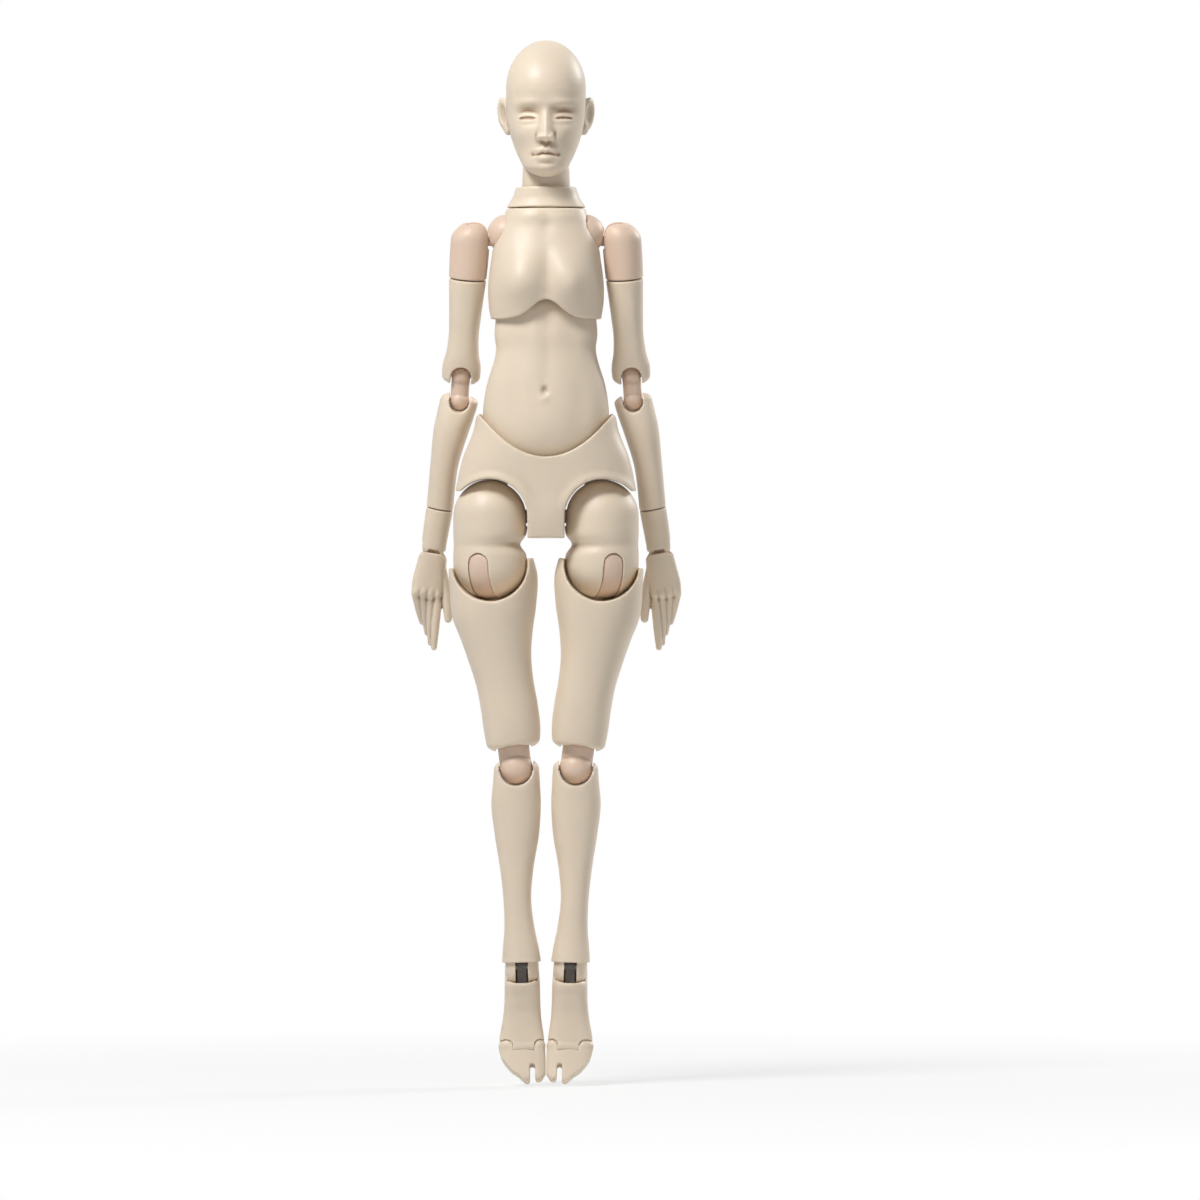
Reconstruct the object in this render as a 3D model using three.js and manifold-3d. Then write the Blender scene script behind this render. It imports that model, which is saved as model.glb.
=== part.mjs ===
// A jointed one-sixth scale action figure body, posed as it hangs: arms down, toes pointed.
// Millimetres, +Z up, the figure faces -Y. The origin is the middle of the flat face between the legs.
import * as THREE from "three";
import { mergeVertices } from "three/addons/utils/BufferGeometryUtils.js";
import Module from "manifold-3d";

const wasm = await Module();
wasm.setup();

// Clearances
const GAP = 0.35; // between pieces that touch
const PLAY = 1.2; // round the abdomen, which is oval and turns in its shells

// Head and neck
const HEAD_HEIGHT = 40;
const HEAD_WIDTH = 23.2;
const CHIN_Z = 104.4;
const NECK_R = 7.1;
const NECK_Y = 2;
const HEAD_BALL_Z = CHIN_Z + 3.1; // the ball sits just above the chin, inside the head
const NECK_BALL_Z = 97.5;
const COLLAR_TOP = 101.8;
const COLLAR_FOOT = 95.9;
const COLLAR_WIDTH = 23.4;

// Torso
const CHEST_TOP = 95.5;
const CHEST_RIM = 63.2;
const CHEST_WIDTH = 32.8;
const CHEST_BALL_Z = 63.5;
const CHEST_ARCH = 5.8; // rise of the front rim under the bust
const WAIST_WIDTH = 29;
const WAIST_BALL_Z = 37;
const ABDOMEN_TOP = 72;
const BOWL_Z = 17; // lowest point of the abdomen
const HIP_WIDTH = 51.6;
const PELVIS_TOP = 36.8;
const PELVIS_DIP = 13.3; // fall of the front rim from its tips to its middle
const TORSO_BALL_R = 4.2;
const TORSO_PEG_R = 2.2;

// Arm
const CLAVICLE = new THREE.Vector3(11.4, 1.5, 88.2);
const CLAVICLE_R = 5.7;
const SHOULDER = new THREE.Vector3(22, 2, 86.2);
const SHOULDER_R = 5.7;
const SHOULDER_BALL_R = 2.9;
const SHOULDER_PEG_R = 1.5;
const CAP_LENGTH = 10.9; // shoulder centre to the seam of the upper arm
const ARM_LEAN = 4; // degrees out from the body
const ARM_BACK = 9; // degrees back, so that the hands hang behind the hips
const UPPER_ARM = 39.6; // shoulder centre to upper elbow pin
const ELBOW_SPAN = 7.3; // between the two elbow pins
const ELBOW_LOBE_R = 2.85;
const ELBOW_END_R = 2.9;
const FOREARM_LEAN = 5.6; // degrees out from the upper arm
const FOREARM = 32; // lower elbow pin to the forearm seam
const WRIST = 43.4; // lower elbow pin to the wrist pin
const WRIST_R = 3.1; // of the rounded end that the hand bends round
const WRIST_TONGUE = 3;
const WRIST_EYE_R = 1.9;
const PALM = 14.4; // wrist pin to the knuckles
const FINGER_R = 1.25;
const PIN_R = 1.1;
const ELBOW_PIN = 9.7; // length of the pin
const WRIST_PIN = 6.6;

// Leg
const HIP = new THREE.Vector3(16.2, 1, 6.3);
const HIP_R = 10.7;
const SOCKET_BAND = 3.3; // half depth of the band of the socket that follows the ball
const HIP_BALL_R = 3.6;
const HIP_PEG_R = 2;
const HIP_DROP = 13.6; // hip centre to the thigh hinge
const WHEEL_R = 10.1; // runs just under the skin of the hip cap
const WHEEL_WIDTH = 5.4;
const WHEEL_CROWN = 0.5;
const WHEEL_TOP = 4.9; // from the axle up to the flat of the wheel
const MOUTH_TOP = 2.65; // from the axle up to the round top of the slot that shows the wheel
const WHEEL_TURN = 18; // degrees that the thigh hinge faces outwards
const WHEEL_SWING = 35; // degrees that the thigh bends forwards
const AXLE_R = 1.6;
const STEM_R = 2.4; // on which the thigh twists
const THIGH_LEAN = 7.2; // degrees in towards the knees
const THIGH = 50; // thigh hinge to the upper knee pin
const KNEE_SPAN = 10;
const KNEE_LOBE_R = 4.9;
const KNEE_PIN_R = 1.6;
const KNEE_PIN = 12; // length of the pin
const KNEE_RIM_R = 11; // of the arc that the lower rim of the thigh makes in front
const KNEE_RIM_RISE = 2.3;
const SHIN_LEAN = 5.6; // degrees back out from the thigh's line
const SHIN = 57.6; // lower knee pin to the ankle centre
const ANKLE_R = 4.9;
const ANKLE_SLOT = 3.6;
const FOOT_POINT = 68; // degrees that the foot hangs toes down
const FOOT_LENGTH = 41;
const HEEL = 8; // ankle centre to the back of the heel
const ANKLE_HEIGHT = 10.5; // ankle centre to the sole
const FOOT_WIDTH = 13.6;
const SOLE_ROUND = 0.8; // depth of the rounding that the flat sole cuts off
const TOE_LENGTH = 11.5; // toe hinge to the tip of the big toe
const TOE_TAB = 6.4;
const TOE_GAP = 1.45; // between the big toe and the others
const TOE_GAP_LENGTH = 5.7;
const TOE_SLANT = 57; // degrees from straight across to the edge of the small toes

// Facets
const SIDES = 16; // round a long piece
const RINGS = 6; // along it
const SMALL = { sides: 12, rings: 3 }; // for a short piece
const DOME_RINGS = 3;
const SAG = 0.17; // from a round surface to the middle of a chord

const FAR = 60; // longer than any cut needs to be
const radians = THREE.MathUtils.degToRad;

const IVORY = { color: 0xe6dac6, roughness: 0.42, metalness: 0 };
const BLUSH = { color: 0xe2c8b4, roughness: 0.45, metalness: 0 };
const GREY = { color: 0x6f6d6a, roughness: 0.5, metalness: 0 };
const STEEL = { color: 0xb4b0a8, roughness: 0.35, metalness: 0.8 };

// A closed geometry as a solid that can be joined and cut.
function solid(geometry) {
  const bare = geometry.clone();
  bare.deleteAttribute("normal");
  bare.deleteAttribute("uv");
  const merged = mergeVertices(bare, 1e-4);
  const triangles = [];
  const index = merged.index.array;
  for (let i = 0; i < index.length; i += 3) {
    const [a, b, c] = index.slice(i, i + 3);
    if (a !== b && b !== c && c !== a) triangles.push(a, b, c);
  }
  const triVerts = Uint32Array.from(triangles);
  const vertProperties = merged.attributes.position.array;
  return new wasm.Manifold(new wasm.Mesh({ numProp: 3, vertProperties, triVerts }));
}

function join(first, ...others) {
  return others.reduce((body, other) => body.add(solid(other)), solid(first));
}

function cut(body, ...tools) {
  return tools.reduce((rest, tool) => rest.subtract(solid(tool)), body);
}

function addPiece(group, name, body, look, place = new THREE.Vector3()) {
  const made = body.getMesh();
  const geometry = new THREE.BufferGeometry();
  geometry.setAttribute("position", new THREE.BufferAttribute(made.vertProperties, 3));
  geometry.setIndex(new THREE.BufferAttribute(made.triVerts, 1));
  geometry.computeVertexNormals();
  const mesh = new THREE.Mesh(geometry, new THREE.MeshStandardMaterial(look));
  mesh.name = name;
  mesh.position.copy(place);
  group.add(mesh);
}

// Superellipse rings along Z, smoothed through stations [z, x, y, half width, front, back].
// An end is flat, or a dome of the given length; a fuller dome has a higher power.
function loft(stations, options = {}) {
  const { top = 0, bottom = 0, power = 2.2, full = 2, sides = SIDES, rings = RINGS } = options;
  const levels = Float32Array.from(stations, (station) => station[0]);
  const values = Float32Array.from(stations.flatMap((station) => station.slice(1)));
  const spline = new THREE.CubicInterpolant(levels, values, 5);
  const low = levels[0];
  const high = levels.at(-1);
  const rows = [];
  const domeRow = (step) => {
    const rise = Math.cos((step / DOME_RINGS) * (Math.PI / 2));
    return { rise, size: (1 - rise ** full) ** (1 / full) };
  };
  for (let step = 1; bottom > 0 && step < DOME_RINGS; step++) {
    const { rise, size } = domeRow(step);
    rows.push([low + bottom * (1 - rise), size]);
  }
  for (let ring = 0; ring <= rings; ring++) {
    rows.push([THREE.MathUtils.lerp(low + bottom, high - top, ring / rings), 1]);
  }
  for (let step = DOME_RINGS - 1; top > 0 && step > 0; step--) {
    const { rise, size } = domeRow(step);
    rows.push([high - top * (1 - rise), size]);
  }
  const points = [];
  for (const [z, size] of rows) {
    const [x, y, width, front, back] = spline.evaluate(z);
    for (let side = 0; side < sides; side++) {
      const angle = (side / sides) * 2 * Math.PI;
      const across = Math.cos(angle);
      const along = Math.sin(angle);
      const depth = along < 0 ? front : back;
      points.push(x + size * width * Math.sign(across) * Math.abs(across) ** (2 / power));
      points.push(y + size * depth * Math.sign(along) * Math.abs(along) ** (2 / power));
      points.push(z);
    }
  }
  for (const end of [low, high]) {
    const [x, y] = spline.evaluate(end);
    points.push(x, y, end);
  }
  const foot = rows.length * sides;
  const triangles = [];
  for (let side = 0; side < sides; side++) {
    const next = (side + 1) % sides;
    triangles.push(foot, next, side);
    for (let row = 0; row < rows.length - 1; row++) {
      const here = row * sides;
      const above = here + sides;
      triangles.push(here + side, here + next, above + next);
      triangles.push(here + side, above + next, above + side);
    }
    triangles.push(foot + 1, foot - sides + side, foot - sides + next);
  }
  const geometry = new THREE.BufferGeometry();
  geometry.setAttribute("position", new THREE.Float32BufferAttribute(points, 3));
  return geometry.setIndex(triangles);
}

// Facets round a circle of this radius: an even number, as few as keep to the sag.
function facets(radius) {
  return 2 * Math.ceil(Math.PI / Math.acos(1 - SAG / radius) / 2);
}

function ball(radius, x = 0, y = 0, z = 0) {
  const around = facets(radius);
  return new THREE.SphereGeometry(radius, around, Math.ceil(0.55 * around)).translate(x, y, z);
}

function egg(x, y, z, width, depth, height) {
  const around = facets(Math.max(width, depth));
  return new THREE.SphereGeometry(1, around, around / 2).scale(width, depth, height).translate(x, y, z);
}

function block(width, depth, height, x = 0, y = 0, z = 0) {
  return new THREE.BoxGeometry(width, depth, height).translate(x, y, z);
}

// A rod along X, centred on the origin.
function rodX(radius, length) {
  return new THREE.CylinderGeometry(radius, radius, length, facets(radius)).rotateZ(Math.PI / 2);
}

// A rod along Z between two heights, or a cone with its own radius at each end.
function rodZ(low, high, lowRadius, highRadius = lowRadius) {
  const around = facets(Math.max(lowRadius, highRadius));
  const rod = new THREE.CylinderGeometry(highRadius, lowRadius, high - low, around);
  return rod.rotateX(Math.PI / 2).translate(0, 0, (low + high) / 2);
}

// A prism along Y, between two depths, of an outline drawn in X and Z.
function prismY(outline, front, back, curveSegments) {
  const options = { depth: back - front, bevelEnabled: false, curveSegments };
  return new THREE.ExtrudeGeometry(outline, options).rotateX(Math.PI / 2).translate(0, back, 0);
}

// An arch for slots and legs: a half round at the origin whose straight sides run down, or up.
function arch(radius, front = -FAR, back = FAR, up = false) {
  const outline = new THREE.Shape();
  const reach = up ? FAR : -FAR;
  outline.moveTo(-radius, reach);
  outline.lineTo(-radius, 0);
  outline.absarc(0, 0, radius, Math.PI, 0, !up);
  outline.lineTo(radius, reach);
  return prismY(outline, front, back, facets(radius) / 2);
}

// The space that a peg along -X sweeps while its ball turns about Y, from one angle to another.
function pegSweep(radius, length, from, to) {
  const outline = new THREE.Shape();
  outline.moveTo(0, 0);
  outline.lineTo(-length * Math.cos(radians(to)), length * Math.sin(radians(to)));
  outline.absarc(0, 0, length, radians(180 - to), radians(180 - from), false);
  const width = radius + GAP;
  const sweep = [prismY(outline, -width, width, facets(radius))];
  for (const angle of [from, to]) {
    const peg = block(length, 2 * width, 2 * width, -length / 2, 0, 0);
    sweep.push(peg.rotateY(radians(angle)));
  }
  return sweep;
}

// Head: skull and face in one loft, with a nose and two ears, hollowed for the ball of the neck.
function headBody() {
  const tall = HEAD_HEIGHT;
  const wide = HEAD_WIDTH / 2;
  const skull = loft(
    [
      [CHIN_Z, 0, -7, 0.42 * wide, 4.2, 4],
      [CHIN_Z + 0.08 * tall, 0, -5, 0.57 * wide, 7.4, 7],
      [CHIN_Z + 0.2 * tall, 0, -1, 0.76 * wide, 11.8, 9.5],
      [CHIN_Z + 0.35 * tall, 0, 0, 0.92 * wide, 13.2, 13],
      [CHIN_Z + 0.5 * tall, 0, 0, 0.98 * wide, 12.8, 15.6],
      [CHIN_Z + 0.65 * tall, 0, 0, wide, 13.4, 16.6],
      [CHIN_Z + tall, 0, 1, wide, 12.5, 16],
    ],
    { top: 0.36 * tall, bottom: 0.08 * tall },
  );
  const nose = egg(0, -13, CHIN_Z + 0.31 * tall, 1.9, 2.4, 4.2);
  const ears = [-1, 1].map((side) => egg(side * wide, 3, CHIN_Z + 0.46 * tall, 1.8, 3, 5));
  const socket = ball(NECK_R + GAP, 0, NECK_Y, HEAD_BALL_Z);
  const opening = rodZ(HEAD_BALL_Z - FAR, HEAD_BALL_Z + 0.37 * NECK_R, NECK_R + 1.5 * GAP);
  return cut(join(skull, nose, ...ears), socket, opening.translate(0, NECK_Y, 0));
}

function neckBody() {
  const rise = HEAD_BALL_Z - NECK_BALL_Z;
  const column = join(ball(NECK_R), rodZ(0, rise - 0.4 * NECK_R, NECK_R));
  return cut(column, ball(NECK_R, 0, 0, rise), rodZ(rise - 2 * NECK_R, rise, TORSO_PEG_R + GAP));
}

// The ball inside the head, on a peg that turns in the neck.
function neckBallBody() {
  const skirt = rodZ(-0.4 * NECK_R + GAP, 0, NECK_R - GAP);
  return join(ball(NECK_R - GAP), skirt, rodZ(-1.8 * NECK_R, 0, TORSO_PEG_R));
}

function collarBody() {
  const wide = COLLAR_WIDTH / 2;
  const brim = NECK_R + 1.6;
  const middle = (COLLAR_TOP + COLLAR_FOOT) / 2;
  const flare = loft(
    [
      [COLLAR_FOOT, 0, NECK_Y, wide, wide - 2, wide - 2],
      [middle, 0, NECK_Y, brim + 1, brim, brim],
      [COLLAR_TOP, 0, NECK_Y, brim, brim, brim],
    ],
    SMALL,
  );
  const bore = rodZ(COLLAR_FOOT - 1, COLLAR_TOP + 1, NECK_R + GAP, NECK_R + 2.5 * GAP);
  return cut(solid(flare), bore.translate(0, NECK_Y, 0));
}

// The abdomen, or the space it needs with a clearance all round.
function abdomenLoft(clearance) {
  const slim = WAIST_WIDTH / 2;
  const station = (z, width, front, back) => {
    return [z, 0, 0, width * slim + clearance, front + clearance, back + clearance];
  };
  const narrow = THREE.MathUtils.lerp(WAIST_BALL_Z, CHEST_BALL_Z, 0.66);
  return loft(
    [
      station(BOWL_Z - clearance, 1.2, 10.8, 9.6),
      station(WAIST_BALL_Z, 1.235, 11.2, 10),
      station(THREE.MathUtils.lerp(WAIST_BALL_Z, narrow, 0.37), 1.2, 10.9, 9.4),
      station(narrow, 1, 9.6, 8.1),
      station(THREE.MathUtils.lerp(narrow, CHEST_BALL_Z, 0.5), 1.03, 9.6, 8.1),
      station(CHEST_BALL_Z, 0.98, 9.2, 7.9),
      station(ABDOMEN_TOP + clearance, 0.98, 9, 7.8),
    ],
    { top: ABDOMEN_TOP - CHEST_BALL_Z + clearance, bottom: WAIST_BALL_Z - BOWL_Z + clearance, full: 2.4 },
  );
}

function abdomenBody() {
  const chestHole = rodZ(CHEST_BALL_Z, ABDOMEN_TOP + 1, TORSO_PEG_R + GAP, 1.9 * TORSO_PEG_R);
  const waistHole = rodZ(BOWL_Z - 1, WAIST_BALL_Z, 2.6 * TORSO_PEG_R, TORSO_PEG_R + GAP);
  const sockets = [CHEST_BALL_Z, WAIST_BALL_Z].map((z) => ball(TORSO_BALL_R + GAP, 0, 0, z));
  return cut(solid(abdomenLoft(0)), chestHole, waistHole, ...sockets);
}

function chestBody() {
  const wide = CHEST_WIDTH / 2;
  const height = (share) => THREE.MathUtils.lerp(CHEST_RIM, CHEST_TOP, share);
  const trunk = loft(
    [
      [CHEST_RIM, 0, 0, wide, 10.8, 9.4],
      [height(0.16), 0, 0, 1.02 * wide, 12, 9.6],
      [height(0.34), 0, 0, 1.02 * wide, 12.8, 10],
      [height(0.54), 0, 0, 0.97 * wide, 12.2, 10.4],
      [height(0.7), 0, 0.5, 0.92 * wide, 11, 10.4],
      [height(0.86), 0, 1, 0.8 * wide, 10, 9.8],
      [CHEST_TOP, 0, 1.5, 0.66 * wide, 9.4, 9.2],
    ],
    { power: 2.3 },
  );
  const bust = [-1, 1].map((side) => egg(side * 0.44 * wide, -8, height(0.33), 0.46 * wide, 5.8, 7.5));
  const underArch = new THREE.Shape();
  const reach = 0.68 * wide;
  const peak = CHEST_RIM + CHEST_ARCH;
  underArch.moveTo(-reach, CHEST_RIM - 1);
  underArch.lineTo(-reach, CHEST_RIM);
  underArch.bezierCurveTo(-reach / 2, CHEST_RIM, -reach / 2, peak, 0, peak);
  underArch.bezierCurveTo(reach / 2, peak, reach / 2, CHEST_RIM, reach, CHEST_RIM);
  underArch.lineTo(reach, CHEST_RIM - 1);
  const pegBore = rodZ(CHEST_BALL_Z, ABDOMEN_TOP + 10, TORSO_PEG_R + GAP);
  const neckSocket = ball(NECK_R + GAP, 0, NECK_Y, NECK_BALL_Z);
  const rimCut = prismY(underArch, -FAR, 0, SIDES / 2);
  let chest = cut(join(trunk, ...bust), abdomenLoft(PLAY), rimCut, pegBore, neckSocket);
  for (const side of [-1, 1]) {
    const scoop = ball(CLAVICLE_R + GAP, side * CLAVICLE.x, CLAVICLE.y, CLAVICLE.z);
    const armpit = ball(SHOULDER_R + 2.5 * GAP, side * SHOULDER.x, SHOULDER.y, SHOULDER.z);
    const sleeve = rodZ(-FAR, 0, SHOULDER_R + 2 * GAP).rotateY(-side * radians(ARM_LEAN));
    sleeve.rotateX(radians(ARM_BACK)).translate(side * SHOULDER.x, SHOULDER.y, SHOULDER.z);
    chest = cut(chest, scoop, armpit, sleeve);
  }
  return chest;
}

function chestHalf(chest, side) {
  const seam = NECK_Y / 2;
  return cut(chest, block(FAR, FAR, 3 * FAR, 0, seam - (side * (FAR - GAP)) / 2, CHEST_TOP));
}

function torsoPegBody(length) {
  const tip = Math.sign(length) * (Math.abs(length) - GAP);
  return join(ball(TORSO_BALL_R), rodZ(Math.min(0, tip), Math.max(0, tip), TORSO_PEG_R));
}

function pelvisBody() {
  const wide = HIP_WIDTH / 2;
  const height = (share) => PELVIS_TOP * share;
  const basin = loft(
    [
      [-2, 0, 0, 0.86 * wide, 8.6, 11],
      [height(0.17), 0, 0, 0.97 * wide, 10.6, 13.6],
      [height(0.4), 0, 0, wide, 11.6, 14.8],
      [height(0.62), 0, 0, 0.94 * wide, 12.2, 14.2],
      [height(0.84), 0, 0, 0.82 * wide, 12.6, 12.6],
      [PELVIS_TOP, 0, 0, 0.775 * wide, 12.9, 11.8],
    ],
    { power: 2.3 },
  );
  const rim = (dip) => {
    const outline = new THREE.Shape();
    const reach = 0.775 * wide;
    outline.moveTo(-reach, PELVIS_TOP);
    outline.quadraticCurveTo(0, PELVIS_TOP - 2 * dip, reach, PELVIS_TOP);
    outline.lineTo(reach, PELVIS_TOP + 1);
    outline.lineTo(-reach, PELVIS_TOP + 1);
    return outline;
  };
  const front = prismY(rim(PELVIS_DIP), -FAR, 0, SIDES / 2);
  const back = prismY(rim(PELVIS_DIP / 2), -1, FAR, SIDES / 2);
  const bore = rodZ(HIP.z + HIP_PEG_R + GAP, BOWL_Z, TORSO_PEG_R + GAP);
  const flat = block(FAR, FAR, FAR, 0, 0, -FAR / 2);
  let pelvis = cut(solid(basin), abdomenLoft(PLAY), front, back, bore, flat);
  for (const side of [-1, 1]) {
    const socket = ball(HIP_R + 1.5 * GAP);
    const legRoom = block(2 * (HIP_R + GAP), FAR, FAR, 0, 0, -FAR / 2);
    const mouths = [arch(HIP_R + GAP, -FAR, -SOCKET_BAND), arch(HIP_R + GAP, SOCKET_BAND, FAR)];
    const leg = [socket, legRoom, ...mouths].map((tool) => tool.translate(side * HIP.x, HIP.y, HIP.z));
    const pegBore = rodX(HIP_PEG_R + GAP, HIP.x).translate((side * HIP.x) / 2, HIP.y, HIP.z);
    pelvis = cut(pelvis, ...leg, pegBore);
  }
  return pelvis;
}

// Two balls on a waist, between the pins of a double hinge. The lower pin leans with the lower limb.
function linkBody(lobe, span, pin, lean) {
  const waist = rodZ(-span, 0, 0.72 * lobe).scale(1.3, 1, 1);
  const upperBore = rodX(pin + GAP, 3 * lobe);
  const lowerBore = rodX(pin + GAP, 3 * lobe).rotateY(radians(-lean)).translate(0, 0, -span);
  return cut(join(ball(lobe), ball(lobe, 0, 0, -span), waist), upperBore, lowerBore);
}

function clavicleBody() {
  const shoulder = SHOULDER.clone().sub(CLAVICLE);
  const dish = ball(SHOULDER_R + GAP, shoulder.x, shoulder.y, shoulder.z);
  const bore = rodX(SHOULDER_PEG_R + GAP, 3 * CLAVICLE_R).translate(0, shoulder.y, shoulder.z);
  return cut(solid(ball(CLAVICLE_R)), dish, bore);
}

function shoulderPegBody() {
  const length = SHOULDER.x - CLAVICLE.x + CLAVICLE_R / 2;
  return join(ball(SHOULDER_BALL_R), rodX(SHOULDER_PEG_R, length).translate(-length / 2, 0, 0));
}

// The cap of the shoulder: a ball above, a sleeve below, and a slot that lets the arm rise past its peg.
function shoulderCapBody() {
  const r = SHOULDER_R;
  const cap = loft(
    [
      [-CAP_LENGTH, 0, 0, 0.96 * r, 1.04 * r, 1.04 * r],
      [-CAP_LENGTH / 2, 0, 0, 0.99 * r, 1.04 * r, 1.04 * r],
      [0, 0, 0, r, r, r],
      [r, 0, 0, r, r, r],
    ],
    { ...SMALL, top: r, power: 2 },
  );
  const sweep = pegSweep(SHOULDER_PEG_R, 2 * r, ARM_LEAN - 6, 84);
  const bore = rodZ(-CAP_LENGTH - 1, -CAP_LENGTH / 2, 0.45 * r + GAP);
  return cut(solid(cap), ball(SHOULDER_BALL_R + GAP), bore, ...sweep);
}

function upperArmBody() {
  const r = SHOULDER_R;
  const top = -CAP_LENGTH - GAP;
  const end = -UPPER_ARM - ELBOW_END_R;
  const at = (share) => THREE.MathUtils.lerp(top, -UPPER_ARM, share);
  const limb = loft(
    [
      [end, 0, 0, 0.96 * r, 3.4, 3.4],
      [-UPPER_ARM, 0, 0, 0.98 * r, 3.7, 3.9],
      [at(0.9), 0, 0, 0.98 * r, 4.3, 4.4],
      [at(0.76), 0, 0, 0.84 * r, 4.7, 4.7],
      [at(0.58), 0, 0, 0.77 * r, 4.7, 4.7],
      [at(0.38), 0, 0, 0.82 * r, 5.1, 5.1],
      [top, 0, 0, 0.95 * r, 1.02 * r, 1.02 * r],
    ],
    { bottom: ELBOW_END_R },
  );
  const peg = rodZ(top - 1, -CAP_LENGTH / 2 - GAP, 0.45 * r);
  const notch = arch(ELBOW_LOBE_R + GAP).translate(0, 0, -UPPER_ARM);
  const pinHole = rodX(PIN_R + GAP, ELBOW_PIN + 2 * GAP).translate(0, 0, -UPPER_ARM);
  return cut(join(limb, peg), notch, pinHole);
}

function forearmBody() {
  const at = (share) => -FOREARM * share;
  const limb = loft(
    [
      [at(1), 0.4, 0, 3.9, 3.9, 3.9],
      [at(0.6), 1.2, 0, 4.1, 4.9, 4.8],
      [at(0.28), 0.9, 0, 5.1, 5.6, 5.3],
      [at(0.13), 0.4, 0, 5.4, 5.1, 4.8],
      [0, 0, 0, 5.5, 3.9, 3.9],
      [ELBOW_END_R - 0.6, 0, 0, 5.4, 3.5, 3.5],
    ],
    { top: ELBOW_END_R - 0.6 },
  );
  const notch = arch(ELBOW_LOBE_R + GAP, -FAR, FAR, true);
  const bore = rodZ(-FOREARM - 1, -0.8 * FOREARM, 2.2 + GAP);
  return cut(solid(limb), notch, rodX(PIN_R + GAP, ELBOW_PIN + 2 * GAP), bore);
}

// The cuff below the forearm seam: a peg turns in the forearm, a round-ended fork holds the wrist tongue.
function cuffBody() {
  const cuff = loft(
    [
      [-WRIST - WRIST_R, 0.3, 0, 3.6, WRIST_R, WRIST_R],
      [-WRIST, 0.3, 0, 3.6, WRIST_R, WRIST_R],
      [(-WRIST - FOREARM) / 2, 0.4, 0, 3.8, 3.5, 3.5],
      [-FOREARM - GAP, 0.4, 0, 3.9, 3.85, 3.85],
    ],
    { ...SMALL, bottom: WRIST_R },
  );
  const peg = rodZ(-FOREARM - 1, -0.8 * FOREARM - GAP, 2.2);
  const wide = WRIST_TONGUE + 2 * GAP;
  const eyeRoom = rodX(WRIST_EYE_R + GAP, wide).translate(0, 0, -WRIST);
  const slot = block(wide, FAR, FAR, 0, 0, -WRIST - 0.2 * WRIST_R - FAR / 2);
  const pinHole = rodX(PIN_R + GAP, FAR).translate(0, 0, -WRIST);
  return cut(join(cuff, peg), eyeRoom, slot, pinHole);
}

function wristPegBody() {
  const tongue = rodX(WRIST_EYE_R, WRIST_TONGUE);
  const neck = block(WRIST_TONGUE, 2.4, 3, 0, 0, -1.5);
  const stem = rodZ(-8, -2, 1.6);
  return cut(join(tongue, neck, stem), rodX(PIN_R + GAP, FAR));
}

function finger(base, tip, radius) {
  const reach = tip.clone().sub(base);
  const bar = new THREE.CapsuleGeometry(radius, reach.length(), 2, 6);
  const up = new THREE.Vector3(0, 1, 0);
  const turn = new THREE.Quaternion().setFromUnitVectors(up, reach.clone().normalize());
  const middle = base.clone().add(tip).multiplyScalar(0.5);
  return bar.applyQuaternion(turn).translate(middle.x, middle.y, middle.z);
}

// The open hand: a palm, four fingers that lean towards the thigh and a thumb beside it.
function handBody() {
  const palm = loft(
    [
      [-PALM - 1.5, -0.3, 0, 4.6, 1.6, 1.6],
      [-0.8 * PALM, 0, 0, 4.8, 2.3, 2.3],
      [-0.45 * PALM, 0, 0, 4.4, 2.8, 2.8],
      [-0.55 * WRIST_R, 0, 0, 4, WRIST_R + 0.2, WRIST_R + 0.2],
    ],
    { ...SMALL, bottom: 2, power: 2.6 },
  );
  const knuckles = [-3.3, -1.1, 1.1, 3.3];
  const reaches = [15, 16.6, 13.5, 9.5];
  const fingers = knuckles.map((x, i) => {
    const base = new THREE.Vector3(x, 0, -PALM);
    const tip = new THREE.Vector3(x - 0.2 * reaches[i], 0.25 * reaches[i], -PALM - reaches[i]);
    return finger(base, tip, FINGER_R);
  });
  const thumbBase = new THREE.Vector3(-3, 0, -0.5 * PALM);
  const thumbTip = new THREE.Vector3(-7.5, 0.4, -1.45 * PALM);
  const thumb = finger(thumbBase, thumbTip, FINGER_R + 0.3);
  const socket = rodZ(-8 - GAP, 0, 1.6 + GAP);
  const clearing = rodX(WRIST_R + GAP, FAR);
  return cut(join(palm, thumb, ...fingers), socket, clearing);
}

function hipPegBody() {
  const length = HIP.x - 1;
  return join(ball(HIP_BALL_R), rodX(HIP_PEG_R, length).translate(-length / 2, 0, 0));
}

// The crowned wheel of the thigh hinge, turned about X and flat above its axle, or the room it needs.
function wheelBody(clearance) {
  const half = WHEEL_WIDTH / 2 + clearance;
  const edge = WHEEL_R - WHEEL_CROWN + clearance;
  const outline = new THREE.Shape();
  outline.moveTo(0, -half);
  outline.lineTo(edge, -half);
  outline.quadraticCurveTo(edge + 2 * WHEEL_CROWN, 0, edge, half);
  outline.lineTo(0, half);
  const disc = new THREE.LatheGeometry(outline.getPoints(2), facets(WHEEL_R)).rotateZ(Math.PI / 2);
  return cut(solid(disc), block(FAR, FAR, FAR, 0, 0, FAR / 2 + WHEEL_TOP + clearance));
}

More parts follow.
